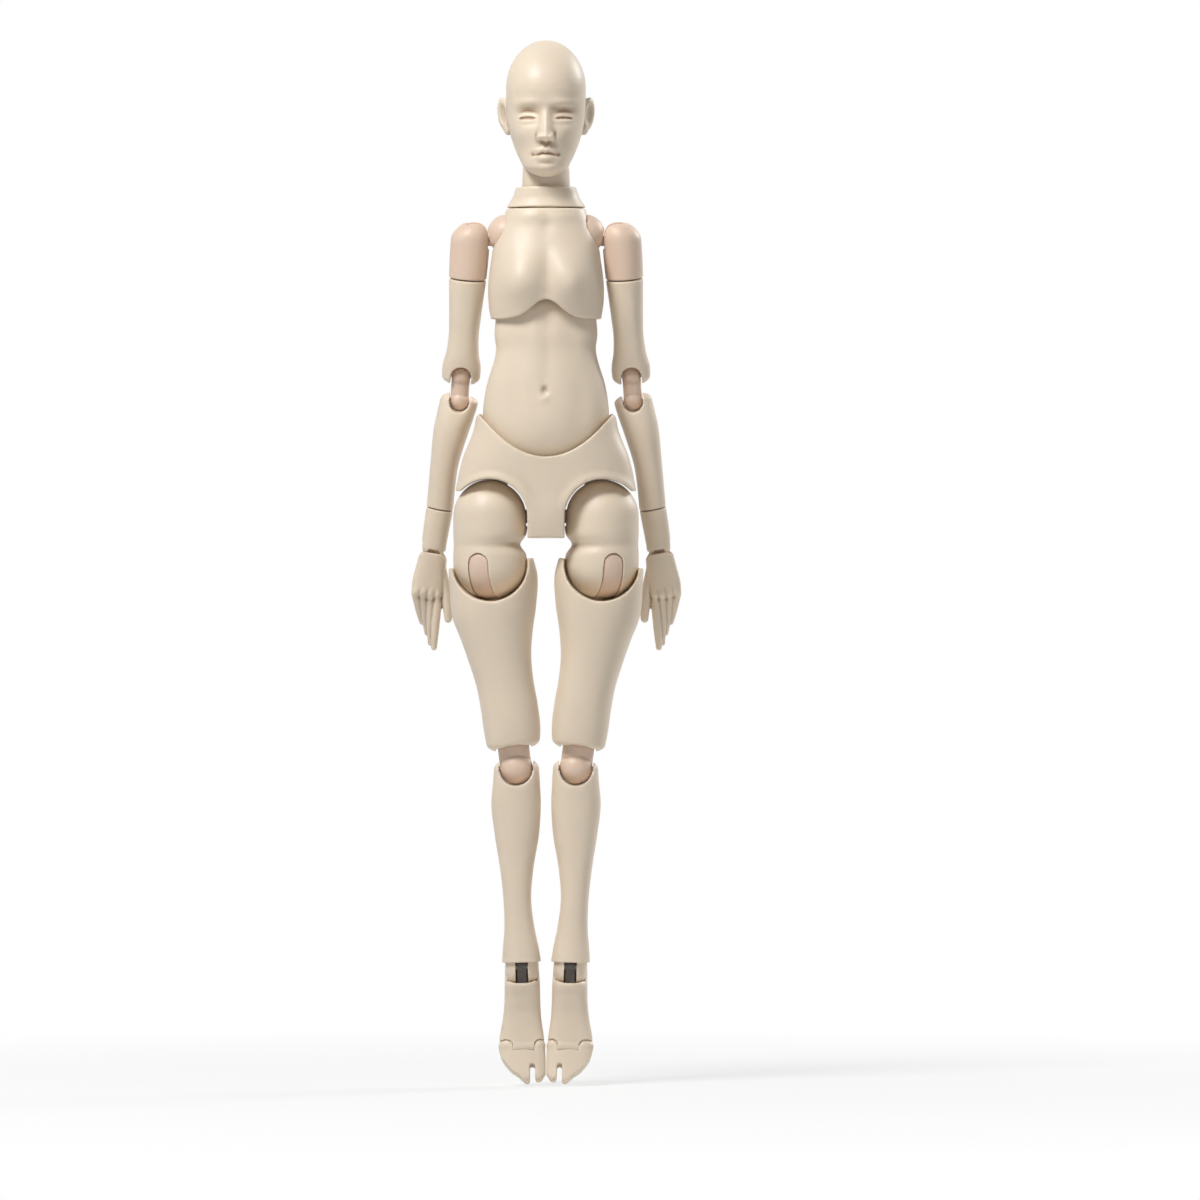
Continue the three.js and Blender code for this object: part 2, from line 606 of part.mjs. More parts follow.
// The upper thigh: a capsule with one end under the pelvis and one in the cup of the thigh.
function hipCapBody() {
  const around = facets(HIP_R);
  const capsule = new THREE.CapsuleGeometry(HIP_R, HIP_DROP, Math.ceil(around / 4), around);
  capsule.rotateX(Math.PI / 2).translate(0, 0, -HIP_DROP / 2);
  const sweep = pegSweep(HIP_PEG_R, 2 * HIP_R, -2, 48);
  const cap = cut(solid(capsule), ball(HIP_BALL_R + GAP), ...sweep);
  const half = WHEEL_WIDTH / 2 + GAP;
  const mouth = arch(half).translate(0, 0, MOUTH_TOP - half);
  const axle = rodX(AXLE_R + GAP, WHEEL_WIDTH + 5);
  const room = wheelBody(GAP);
  const slot = room.add(room.rotate([-WHEEL_SWING, 0, 0])).add(solid(mouth)).add(solid(axle));
  const turned = slot.rotate([0, 0, WHEEL_TURN]).rotate([0, THIGH_LEAN, 0]);
  return cap.subtract(turned.translate([0, 0, -HIP_DROP]));
}

function thighTongueBody() {
  const axle = rodX(AXLE_R, WHEEL_WIDTH + 4);
  const stem = rodZ(-2 * HIP_R, -0.9 * HIP_R, STEM_R);
  return wheelBody(0).add(solid(axle)).add(solid(stem));
}

// The thigh: a cup that is open in front of the ball, and a fork behind a rounded front for the knee.
function thighBody() {
  const at = (share) => -THIGH * share;
  const end = KNEE_SPAN / 2 + 0.3;
  const limb = loft(
    [
      [-THIGH - end, 0, 0, 7.4, 6.4, 6],
      [at(0.98), -0.3, 0, 8.2, 7.8, 6.6],
      [at(0.84), -0.3, 0, 8.3, 8.6, 7.6],
      [at(0.7), 0.1, 0, 8.35, 9, 8.6],
      [at(0.56), 0.6, 0, 9.1, 9.8, 9.6],
      [at(0.42), 0.7, 0, 10.5, 11, 11],
      [at(0.28), 0.6, 0, 12.3, 12.2, 12.4],
      [at(0.1), -0.3, 0, 12.9, 12.8, 13],
      [0, -0.2, 0, 12.4, 12.4, 12.6],
    ],
    { bottom: 0.55 * end },
  );
  const cup = HIP_R + GAP;
  const window = arch(cup, -FAR, -0.3 * HIP_R, true);
  const stem = rodZ(-2 * HIP_R - GAP, 0, STEM_R + GAP);
  const lobe = KNEE_LOBE_R + GAP;
  const fork = arch(lobe, -0.8 * lobe, FAR).translate(0, 0, -THIGH);
  const pinHole = rodX(KNEE_PIN_R + GAP, KNEE_PIN + 2 * GAP).translate(0, 0, -THIGH);
  const rim = new THREE.CylinderGeometry(KNEE_RIM_R, KNEE_RIM_R, FAR, facets(KNEE_RIM_R));
  rim.translate(0, 0, -THIGH - end + KNEE_RIM_RISE - KNEE_RIM_R);
  return cut(solid(limb), ball(cup), window, stem, ball(lobe, 0, 0, -THIGH), fork, pinHole, rim);
}

function shinBody() {
  const at = (share) => -SHIN * share;
  const end = KNEE_SPAN / 2 - 1.7;
  const limb = loft(
    [
      [at(0.976), 0, 0, 5.7, 5.7, 5.7],
      [at(0.9), 0.1, 0, 5.2, 5.1, 5.2],
      [at(0.81), 0.3, 0, 4.45, 4.5, 4.9],
      [at(0.66), 0.7, 0.3, 4.05, 4.6, 5.2],
      [at(0.5), 0.6, 0.6, 4.9, 5.2, 6.6],
      [at(0.34), 0.3, 0.8, 6.4, 6, 8],
      [at(0.18), 0.3, 0.5, 7.2, 6.4, 7.6],
      [at(0.06), 0, 0, 6.8, 6.2, 6.2],
      [end, -0.2, 0, 6.4, 5, 4.6],
    ],
    { top: end },
  );
  const notch = arch(KNEE_LOBE_R + GAP, -FAR, FAR, true);
  const bore = rodZ(-SHIN, -0.86 * SHIN, TORSO_PEG_R + GAP);
  const pinHole = rodX(KNEE_PIN_R + GAP, KNEE_PIN + 2 * GAP);
  return cut(solid(limb), notch, pinHole, ball(ANKLE_R + GAP, 0, 0, -SHIN), bore);
}

function ankleBallBody() {
  const peg = rodZ(0, 0.13 * SHIN, TORSO_PEG_R);
  const reach = 4 * ANKLE_R;
  const slot = block(ANKLE_SLOT, reach, reach, 0, 0.45 * ANKLE_R - reach / 2, 0.5 * ANKLE_R - reach / 2);
  return cut(join(ball(ANKLE_R), peg), slot, rodX(PIN_R + GAP, FAR));
}

// The flat hinge of the ankle: an eye in the slot of the ball and a stem down into the pointed foot.
const STEM_LENGTH = 2.4 * ANKLE_R;

function ankleHingeBody() {
  const width = ANKLE_SLOT - 2 * GAP;
  const eye = rodX(0.4 * ANKLE_R, width);
  const shank = block(width, width, 1.14 * ANKLE_R, 0, 0, -0.57 * ANKLE_R);
  const stem = rodZ(-STEM_LENGTH, -ANKLE_R, width / 2);
  return cut(join(eye, shank, stem), rodX(PIN_R + GAP, FAR));
}

// A loft that lies along the foot: heel to toe is -Y, and the loft's back is the instep.
function alongFoot(geometry) {
  return geometry.rotateX(Math.PI / 2).translate(0, HEEL, 0);
}

function footOutline() {
  const sole = ANKLE_HEIGHT + SOLE_ROUND;
  const station = (share, x, width, instep) => {
    const half = (sole + instep) / 2;
    return [FOOT_LENGTH * share, x, half - sole, (width * FOOT_WIDTH) / 2, half, half];
  };
  return alongFoot(
    loft(
      [
        station(0, 0, 0.7, -4.6),
        station(0.2, 0, 0.74, -3.6),
        station(0.33, 0, 0.76, 3),
        station(0.42, 0.1, 0.78, 0.4),
        station(0.52, 0.3, 0.84, -2.6),
        station(0.66, 0.5, 0.97, -5),
        station(0.78, 0.6, 1, -6),
        station(1, 0.5, 0.92, -7),
      ],
      { top: 0.1 * FOOT_LENGTH, bottom: 0.1 * FOOT_LENGTH, power: 2.6, sides: SMALL.sides },
    ),
  );
}

// Where the toes hinge, in the frame of the foot.
const TOE_Y = HEEL - FOOT_LENGTH + TOE_LENGTH;
const TOE_Z = -ANKLE_HEIGHT + 2.2;
const TOE_R = 2.1;

function footBody() {
  const ground = block(FAR, 2 * FAR, FAR, 0, 0, -ANKLE_HEIGHT - FAR / 2);
  const toeRoom = block(FAR, FAR, FAR, 0, TOE_Y + TOE_R + GAP - FAR / 2, 0);
  const tab = rodX(TOE_R, TOE_TAB - 2 * GAP).translate(0, TOE_Y, TOE_Z);
  const arm = block(TOE_TAB - 2 * GAP, 2 * TOE_R + 2, 2 * TOE_R, 0, TOE_Y + TOE_R + 0.5, TOE_Z);
  const trunnion = rodX(0.8, TOE_TAB + 2.4).translate(0, TOE_Y, TOE_Z);
  const cup = ball(ANKLE_R + 1 + GAP);
  const mouth = rodZ(0, FAR, ANKLE_R + 1 + GAP).rotateX(radians(-FOOT_POINT));
  const hinge = rodZ(-STEM_LENGTH - GAP, 0, ANKLE_SLOT / 2).rotateX(radians(-FOOT_POINT));
  const body = cut(solid(footOutline()), ground, toeRoom, cup, mouth, hinge);
  return body.add(solid(arm)).add(solid(tab)).add(solid(trunnion));
}

// The toes: side lobes round the tab of the foot, the big toe split from the others.
function toesBody() {
  const ground = block(FAR, 2 * FAR, FAR, 0, 0, -ANKLE_HEIGHT - FAR / 2);
  const instep = block(FAR, FAR, FAR, 0, TOE_Y + FAR / 2, 0);
  const tabRoom = block(TOE_TAB, 4 * TOE_R, FAR, 0, TOE_Y + TOE_R - GAP, 0);
  const lobe = rodX(TOE_R, FOOT_WIDTH - 2).translate(0, TOE_Y, TOE_Z);
  const trunnionHole = rodX(0.8 + GAP, TOE_TAB + 3).translate(0, TOE_Y, TOE_Z);
  const tip = TOE_Y - TOE_LENGTH;
  const middle = -0.1 * FOOT_WIDTH;
  const split = block(TOE_GAP, FAR, FAR, middle, tip + TOE_GAP_LENGTH - FAR / 2, 0);
  const slant = block(FAR, FAR, FAR, FAR / 2, -FAR / 2, 0).rotateZ(radians(TOE_SLANT));
  slant.translate(middle + 1.2 * TOE_GAP, tip, 0);
  const toes = cut(solid(footOutline()), ground, instep).add(solid(lobe));
  return cut(toes, tabRoom, trunnionHole, split, slant);
}

function pinBody(radius, length) {
  return solid(rodX(radius, length));
}

function addArm(figure, name, side) {
  const mirror = new THREE.Group();
  mirror.scale.x = side;
  figure.add(mirror);
  addPiece(mirror, `${name}_clavicle`, clavicleBody(), BLUSH, CLAVICLE);
  addPiece(mirror, `${name}_shoulder_peg`, shoulderPegBody(), BLUSH, SHOULDER);

  const arm = new THREE.Group();
  arm.position.copy(SHOULDER);
  arm.rotation.set(radians(ARM_BACK), radians(-ARM_LEAN), 0);
  mirror.add(arm);
  const upperPin = new THREE.Vector3(0, 0, -UPPER_ARM);
  addPiece(arm, `${name}_shoulder_cap`, shoulderCapBody(), BLUSH);
  addPiece(arm, `${name}_upper_arm`, upperArmBody(), IVORY);
  const link = linkBody(ELBOW_LOBE_R, ELBOW_SPAN, PIN_R, FOREARM_LEAN);
  addPiece(arm, `${name}_elbow_link`, link, BLUSH, upperPin);
  addPiece(arm, `${name}_upper_elbow_pin`, pinBody(PIN_R, ELBOW_PIN), STEEL, upperPin);

  const fore = new THREE.Group();
  fore.position.set(0, 0, -UPPER_ARM - ELBOW_SPAN);
  fore.rotation.y = radians(-FOREARM_LEAN);
  arm.add(fore);
  const wrist = new THREE.Vector3(0, 0, -WRIST);
  addPiece(fore, `${name}_lower_elbow_pin`, pinBody(PIN_R, ELBOW_PIN), STEEL);
  addPiece(fore, `${name}_forearm`, forearmBody(), IVORY);
  addPiece(fore, `${name}_wrist_cuff`, cuffBody(), IVORY);
  addPiece(fore, `${name}_wrist_pin`, pinBody(PIN_R, WRIST_PIN), IVORY, wrist);
  addPiece(fore, `${name}_wrist_peg`, wristPegBody(), BLUSH, wrist);
  addPiece(fore, `${name}_hand`, handBody(), IVORY, wrist);
}

function addLeg(figure, name, side) {
  const mirror = new THREE.Group();
  mirror.scale.x = side;
  figure.add(mirror);
  addPiece(mirror, `${name}_hip_peg`, hipPegBody(), BLUSH, HIP);
  addPiece(mirror, `${name}_hip_cap`, hipCapBody(), IVORY, HIP);

  const leg = new THREE.Group();
  leg.position.copy(HIP);
  leg.position.z -= HIP_DROP;
  leg.rotation.y = radians(THIGH_LEAN);
  mirror.add(leg);
  const tongue = new THREE.Group();
  tongue.rotation.z = radians(WHEEL_TURN);
  leg.add(tongue);
  const upperPin = new THREE.Vector3(0, 0, -THIGH);
  addPiece(tongue, `${name}_thigh_tongue`, thighTongueBody(), BLUSH);
  addPiece(leg, `${name}_thigh`, thighBody(), IVORY);
  const link = linkBody(KNEE_LOBE_R, KNEE_SPAN, KNEE_PIN_R, SHIN_LEAN);
  addPiece(leg, `${name}_knee_link`, link, BLUSH, upperPin);
  addPiece(leg, `${name}_upper_knee_pin`, pinBody(KNEE_PIN_R, KNEE_PIN), STEEL, upperPin);

  const shin = new THREE.Group();
  shin.position.set(0, 0, -THIGH - KNEE_SPAN);
  shin.rotation.y = radians(-SHIN_LEAN);
  leg.add(shin);
  const ankle = new THREE.Vector3(0, 0, -SHIN);
  addPiece(shin, `${name}_lower_knee_pin`, pinBody(KNEE_PIN_R, KNEE_PIN), STEEL);
  addPiece(shin, `${name}_shin`, shinBody(), IVORY);
  addPiece(shin, `${name}_ankle_ball`, ankleBallBody(), IVORY, ankle);
  addPiece(shin, `${name}_ankle_pin`, pinBody(PIN_R, 8), STEEL, ankle);
  addPiece(shin, `${name}_ankle_hinge`, ankleHingeBody(), GREY, ankle);

  const foot = new THREE.Group();
  foot.position.copy(ankle);
  foot.rotation.x = radians(FOOT_POINT);
  shin.add(foot);
  addPiece(foot, `${name}_foot`, footBody(), IVORY);
  addPiece(foot, `${name}_toes`, toesBody(), IVORY);
}

function buildFigure() {
  const figure = new THREE.Group();
  const chest = chestBody();
  const waist = new THREE.Vector3(0, 0, WAIST_BALL_Z);
  const rib = new THREE.Vector3(0, 0, CHEST_BALL_Z);
  addPiece(figure, "pelvis", pelvisBody(), IVORY);
  addPiece(figure, "waist_peg", torsoPegBody(HIP.z + HIP_PEG_R + 2 * GAP - waist.z), BLUSH, waist);
  addPiece(figure, "abdomen", abdomenBody(), IVORY);
  addPiece(figure, "chest_peg", torsoPegBody(ABDOMEN_TOP + 10 - rib.z), BLUSH, rib);
  addPiece(figure, "chest_front", chestHalf(chest, -1), IVORY);
  addPiece(figure, "chest_back", chestHalf(chest, 1), IVORY);
  addPiece(figure, "neck_collar", collarBody(), IVORY);
  addPiece(figure, "neck", neckBody(), IVORY, new THREE.Vector3(0, NECK_Y, NECK_BALL_Z));
  addPiece(figure, "neck_ball", neckBallBody(), IVORY, new THREE.Vector3(0, NECK_Y, HEAD_BALL_Z));
  addPiece(figure, "head", headBody(), IVORY);
  for (const [name, side] of [["left", 1], ["right", -1]]) {
    addArm(figure, name, side);
    addLeg(figure, name, side);
  }
  return figure;
}

export default buildFigure();
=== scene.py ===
"""Looks of a jointed one-sixth scale action figure body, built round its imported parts.

Every surface starts as a function of two parameters on a grid, in millimetres and in the frame of its limb.
The figure faces -Y, +Z is up, and the origin is the middle of the flat face between the legs.
"""

import math
from types import SimpleNamespace

import bpy
import numpy as np
from mathutils import Matrix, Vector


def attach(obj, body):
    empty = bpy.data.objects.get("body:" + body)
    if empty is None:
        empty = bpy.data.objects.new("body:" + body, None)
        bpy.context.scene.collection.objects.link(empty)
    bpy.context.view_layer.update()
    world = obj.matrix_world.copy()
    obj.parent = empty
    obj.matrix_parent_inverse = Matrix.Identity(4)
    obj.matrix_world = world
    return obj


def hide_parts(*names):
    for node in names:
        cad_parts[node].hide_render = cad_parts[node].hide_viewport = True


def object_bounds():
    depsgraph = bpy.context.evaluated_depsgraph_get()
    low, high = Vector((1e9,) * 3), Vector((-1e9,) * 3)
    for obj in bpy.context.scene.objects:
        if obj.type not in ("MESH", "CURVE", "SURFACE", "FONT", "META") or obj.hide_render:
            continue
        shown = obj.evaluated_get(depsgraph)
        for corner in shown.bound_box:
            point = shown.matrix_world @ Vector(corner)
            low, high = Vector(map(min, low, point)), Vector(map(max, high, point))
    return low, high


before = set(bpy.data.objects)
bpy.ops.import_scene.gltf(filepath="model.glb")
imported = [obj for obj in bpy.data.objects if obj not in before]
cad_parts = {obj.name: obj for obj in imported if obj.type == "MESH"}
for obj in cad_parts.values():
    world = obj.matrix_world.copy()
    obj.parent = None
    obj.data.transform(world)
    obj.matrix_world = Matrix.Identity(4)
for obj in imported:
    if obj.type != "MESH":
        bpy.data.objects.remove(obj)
CAD_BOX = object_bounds()

bl_info = {
    "name": "Action figure body",
    "version": (1, 0, 0),
    "blender": (4, 5, 0),
    "location": "View3D > Sidebar > Figure",
    "description": "Builds the moulded pieces of a jointed doll body and a plain studio round them",
    "category": "Add Mesh",
}

MM = 0.001
# Further than any cut has to reach, in millimetres.
FAR = 60.0
# The numbers of the X and Z axes.
ACROSS, UP = 0, 2
# How square the rings of the foot are: the power of their superellipses.
FOOT_POWER = 2.6
# The photograph: its side and the place of the origin in pixels, and the size of a pixel.
PHOTO_SIDE = 1200
PHOTO_ORIGIN = (546, 538)
PHOTO_SCALE = 0.29 * MM
# How far the camera stands in front of the figure, in metres.
CAMERA_DISTANCE = 3.0
SIDES = {"left": 1, "right": -1}


def length(label, size, about):
    """A length property whose default is given in millimetres."""
    return bpy.props.FloatProperty(name=label, description=about, default=size * MM, unit="LENGTH")


def angle(label, degrees, about):
    """An angle property whose default is given in degrees."""
    return bpy.props.FloatProperty(
        name=label, description=about, default=math.radians(degrees), subtype="ANGLE"
    )


def place(label, point, about):
    """A point property whose default is given in millimetres."""
    spot = [size * MM for size in point]
    return bpy.props.FloatVectorProperty(name=label, description=about, default=spot, size=3, unit="LENGTH")


def colour(label, shade, about):
    """A colour property, in linear light."""
    return bpy.props.FloatVectorProperty(
        name=label, description=about, default=shade, size=3, min=0, max=1, subtype="COLOR"
    )


def share(label, value, about):
    """A plain number from 0 to 1."""
    return bpy.props.FloatProperty(
        name=label, description=about, default=value, min=0, max=1, subtype="FACTOR"
    )


class FigureHead(bpy.types.PropertyGroup):
    """Sizes of the head and neck."""

    height: length("Height", 40, "Chin to crown")
    width: length("Width", 23.2, "Across the skull above the ears")
    chin: length("Chin", 104.4, "Height of the chin above the crotch")
    neck_radius: length("Neck radius", 7.1, "Radius of the neck and of its balls")
    neck_y: length("Neck set-back", 2, "How far the neck stands behind the middle")
    head_ball: length("Head ball", 3.1, "Chin to the middle of the ball inside the head")
    neck_ball: length("Neck ball", 97.5, "Height of the ball at the foot of the neck")
    collar_top: length("Collar top", 101.8, "Height of the upper rim of the collar")
    collar_foot: length("Collar foot", 95.9, "Height of the lower rim of the collar")
    collar_width: length("Collar width", 23.4, "Across the foot of the collar")
    eye_spread: length("Eye spread", 5.3, "Middle of the face to the middle of an eye")
    eye_rise: length("Eye height", 17.3, "Chin to the line of the lids")
    nose_rise: length("Nose height", 11.2, "Chin to the tip of the nose")
    mouth_rise: length("Mouth height", 6.5, "Chin to the line of the lips")
    ear_rise: length("Ear height", 18.2, "Chin to the middle of an ear")


class FigureTorso(bpy.types.PropertyGroup):
    """Sizes of the chest, abdomen and pelvis."""

    gap: length("Gap", 0.35, "Clearance between pieces that touch")
    fit: length("Fit", 0.12, "Clearance of a ball that fills its socket")
    play: length("Play", 1.0, "Clearance round the oval abdomen")
    chest_top: length("Chest top", 95.5, "Height of the top of the chest")
    chest_rim: length("Chest rim", 63.2, "Height of the lower rim of the chest")
    chest_width: length("Chest width", 32.8, "Across the ribs")
    chest_ball: length("Chest ball", 63.5, "Height of the ball between chest and abdomen")
    chest_arch: length("Chest arch", 5.8, "Rise of the front rim under the bust")
    waist_width: length("Waist width", 29, "Across the narrowest part of the abdomen")
    waist_ball: length("Waist ball", 37, "Height of the ball between abdomen and pelvis")
    abdomen_top: length("Abdomen top", 72, "Height of the top of the abdomen")
    bowl: length("Bowl", 17, "Height of the lowest point of the abdomen")
    hip_width: length("Hip width", 51.6, "Across the wings of the pelvis")
    pelvis_top: length("Pelvis top", 36.8, "Height of the tips of the pelvis")
    pelvis_dip: length("Pelvis dip", 13.3, "Fall of the front rim from its tips to its middle")
    ball_radius: length("Ball radius", 4.2, "Radius of the balls in the abdomen")
    peg_radius: length("Peg radius", 2.2, "Radius of the pegs of the torso")
    navel: length("Navel", 42.5, "Height of the navel")


class FigureArm(bpy.types.PropertyGroup):
    """Sizes of an arm, from the collar bone to the fingers."""

    clavicle: place("Clavicle", (11.4, 1.5, 88.2), "Middle of the ball of the collar bone")
    clavicle_radius: length("Clavicle radius", 5.7, "Radius of the ball of the collar bone")
    shoulder: place("Shoulder", (22, 2, 86.2), "Middle of the shoulder")
    radius: length("Shoulder radius", 5.7, "Radius of the shoulder cap")
    ball: length("Shoulder ball", 2.9, "Radius of the ball inside the cap")
    peg: length("Shoulder peg", 1.5, "Radius of the peg on that ball")
    cap: length("Cap length", 10.9, "Shoulder to the seam of the upper arm")
    lean: angle("Lean", 4, "How far the arm hangs out from the body")
    back: angle("Set-back", 9, "How far the arm hangs behind the body")
    upper: length("Upper arm", 39.6, "Shoulder to the upper elbow pin")
    elbow_span: length("Elbow span", 7.3, "Between the two elbow pins")
    elbow_lobe: length("Elbow lobe", 2.85, "Radius of each ball of the elbow link")
    elbow_end: length("Elbow end", 2.9, "Length of the rounded end of the upper arm")
    fore_lean: angle("Forearm lean", 5.6, "How far the forearm leans out from the upper arm")
    fore: length("Forearm", 32, "Lower elbow pin to the forearm seam")
    wrist: length("Wrist", 43.4, "Lower elbow pin to the wrist pin")
    wrist_radius: length("Wrist radius", 3.1, "Radius of the rounded end that the hand bends round")
    tongue: length("Wrist tongue", 3, "Width of the tongue of the wrist")
    eye: length("Wrist eye", 1.9, "Radius of the eye of that tongue")
    palm: length("Palm", 14.4, "Wrist pin to the knuckles")
    finger: length("Finger radius", 1.25, "Radius of a finger at its middle")
    pin: length("Pin radius", 1.1, "Radius of the wrist and ankle pins, and diameter of the elbow pins")
    elbow_pin: length("Elbow pin", 9.7, "Length of an elbow pin")
    wrist_pin: length("Wrist pin", 6.6, "Length of the wrist pin")
    wrist_stem: length("Wrist stem", 8, "Wrist pin to the end of the stem inside the hand")
    stem: length("Wrist stem radius", 1.6, "Radius of that stem")
    cuff_peg: length("Cuff peg", 2.2, "Radius of the peg on which the cuff twists")


class FigureLeg(bpy.types.PropertyGroup):
    """Sizes of a leg, from the hip to the toes."""

    hip: place("Hip", (16.2, 1, 6.3), "Middle of the hip")
    radius: length("Hip radius", 10.7, "Radius of the balls of the hip cap")
    socket_band: length("Socket band", 1.4, "Half depth of the part of the socket that follows the ball")
    ball: length("Hip ball", 3.6, "Radius of the ball inside the hip cap")
    peg: length("Hip peg", 2, "Radius of the peg on that ball")
    drop: length("Hip drop", 13.6, "Hip to the thigh hinge")
    waist: length("Hip waist", 1.5, "Depth of the crease between the balls of the hip cap")
    wheel: length("Wheel radius", 10.4, "Radius of the wheel of the thigh hinge")
    wheel_width: length("Wheel width", 5.8, "Width of that wheel")
    crown: length("Wheel crown", 0.5, "Rise of the wheel's crowned edge")
    mouth: length("Slot top", 2.65, "Axle to the round top of the slot that shows the wheel")
    wheel_turn: angle("Wheel turn", 20, "How far the thigh hinge faces outwards")
    axle: length("Axle radius", 1.6, "Radius of the wheel's axle")
    stem: length("Stem radius", 2.4, "Radius of the stem on which the thigh twists")
    lean: angle("Thigh lean", 7.2, "How far the thighs lean in towards the knees")
    thigh: length("Thigh", 50, "Thigh hinge to the upper knee pin")
    knee_span: length("Knee span", 10, "Between the two knee pins")
    knee_lobe: length("Knee lobe", 4.9, "Radius of each ball of the knee link")
    knee_pin: length("Knee pin diameter", 1.6, "Diameter of the knee pins")
    knee_pin_length: length("Knee pin", 12, "Length of a knee pin")
    knee_rim: length("Knee rim radius", 11, "Radius of the arc of the thigh's lower rim")
    knee_rim_rise: length("Knee rim rise", 2.3, "Height of that arc")
    shin_lean: angle("Shin lean", 5.6, "How far the shin leans back out")
    shin: length("Shin", 57.6, "Lower knee pin to the ankle")
    ankle: length("Ankle radius", 4.9, "Radius of the ankle ball")
    ankle_pin: length("Ankle pin", 8, "Length of the ankle pin")
    slot: length("Ankle slot", 3.6, "Width of the slot in the ankle ball")
    point: angle("Foot point", 68, "How far the foot hangs toes down")
    foot: length("Foot length", 41, "Heel to toe")
    heel: length("Heel", 8, "Ankle to the back of the heel")
    sole: length("Ankle height", 10.5, "Ankle to the sole")
    foot_width: length("Foot width", 13.6, "Across the ball of the foot")
    sole_round: length("Sole rounding", 0.8, "Depth of the rounding that the flat sole cuts off")
    toe_out: length("Toe offset", 0.55, "How far the ball of the foot lies outwards")
    toes: length("Toe length", 11.5, "Toe hinge to the tip of the big toe")
    tab: length("Toe tab", 6.4, "Width of the tab between the lobes of the toes")
    knuckle: length("Toe knuckle", 2.8, "Radius of the rounded knuckle round the toe hinge")
    toe_axis: length("Toe hinge height", 2.2, "Sole to the toe hinge")
    toe_gap: length("Toe gap", 1.45, "Between the big toe and the others")
    toe_gap_length: length("Toe gap length", 5.7, "Length of that gap")


class FigureFinish(bpy.types.PropertyGroup):
    """Colours of the plastics and the metal, the colour of the painted shade in the hollows, their
    roughness and grain, and how finely they are moulded.
    """

    ivory: colour("Ivory", (0.78, 0.662, 0.52), "Plastic of most pieces")
    blush: colour("Blush", (0.75, 0.575, 0.45), "Pinker plastic of the shoulders and links")
    grey: colour("Grey", (0.18, 0.17, 0.165), "Plastic of the ankle hinge")
    steel: colour("Steel", (0.46, 0.43, 0.39), "Metal of the pins")
    # Painted shade: the colour that hollows and creases are tinted towards, in place of the shadow that
    # falls there.
    painted_shade_colour: colour("Amber", (0.26, 0.13, 0.045), "Warm tint of the hollows")
    roughness: share("Roughness", 0.45, "Satin of the plastics")
    grain: length("Grain", 0.012, "Height of the mould's fine grain")
    voxel: length("Voxel", 0.38, "Fineness of a moulded piece")


class FigureSettings(bpy.types.PropertyGroup):
    """All settings of the figure."""

    head: bpy.props.PointerProperty(type=FigureHead, name="Head", description="Sizes of the head and neck")
    torso: bpy.props.PointerProperty(
        type=FigureTorso, name="Torso", description="Sizes of the chest, abdomen and pelvis"
    )
    arm: bpy.props.PointerProperty(type=FigureArm, name="Arm", description="Sizes of an arm")
    leg: bpy.props.PointerProperty(type=FigureLeg, name="Leg", description="Sizes of a leg")
    finish: bpy.props.PointerProperty(type=FigureFinish, name="Finish", description="Colours and fineness")


def sizes(group):
    """The lengths and points of a property group in millimetres, and its angles in degrees."""
    values = {}
    for name in group.__annotations__:
        value = getattr(group, name)
        unit = group.bl_rna.properties[name].unit
        if unit == "LENGTH":
            value = np.array(value) / MM
        elif unit == "ROTATION":
            value = math.degrees(value)
        values[name] = value
    return SimpleNamespace(**values)


def figure_sizes(context, *parts):
    """The sizes of some parts of the figure."""
    return [sizes(getattr(context.scene.figure, part)) for part in parts]


def turn(axis, degrees):
    """A turn about an axis through the origin."""
    return Matrix.Rotation(math.radians(degrees), 4, axis)


def shift(x=0.0, y=0.0, z=0.0):
    """A move along the axes."""
    return Matrix.Translation((x, y, z))


class Skin:
    """A closed surface in millimetres: points, and triangles of point numbers that face outwards."""

    def __init__(self, points, triangles):
        self.points = np.asarray(points, float)
        self.triangles = np.asarray(triangles, np.int32)

    def at(self, matrix):
        """The surface moved by a matrix; a mirrored one is turned right side out again."""
        move = np.array(matrix)
        mirrored = np.linalg.det(move[:3, :3]) < 0
        triangles = self.triangles[:, ::-1] if mirrored else self.triangles
        return Skin(self.points @ move[:3, :3].T + move[:3, 3], triangles)

    def pressed(self, centre, size, move):
        """Points near a centre move together, the others less: a bell curve of the given size per axis."""
        fall = np.exp(-(((self.points - centre) / size) ** 2).sum(axis=1))
        return Skin(self.points + fall[:, None] * np.asarray(move, float), self.triangles)


def track(levels, values, at):
    """A smooth curve through values at levels.

    It goes in cubic steps, and its slope at a level is the mean of the slopes on the two sides.
    """
    slopes = np.diff(values, axis=0) / np.diff(levels)[:, None]
    tangents = np.vstack([slopes[:1], (slopes[:-1] + slopes[1:]) / 2, slopes[-1:]])
    step = np.clip(np.searchsorted(levels, at, "right") - 1, 0, len(levels) - 2)
    span = (levels[step + 1] - levels[step])[:, None]
    u = (at - levels[step])[:, None] / span
    start = (1 + 2 * u) * (1 - u) ** 2 * values[step] + u * (1 - u) ** 2 * span * tangents[step]
    return start + u**2 * (3 - 2 * u) * values[step + 1] + u**2 * (u - 1) * span * tangents[step + 1]


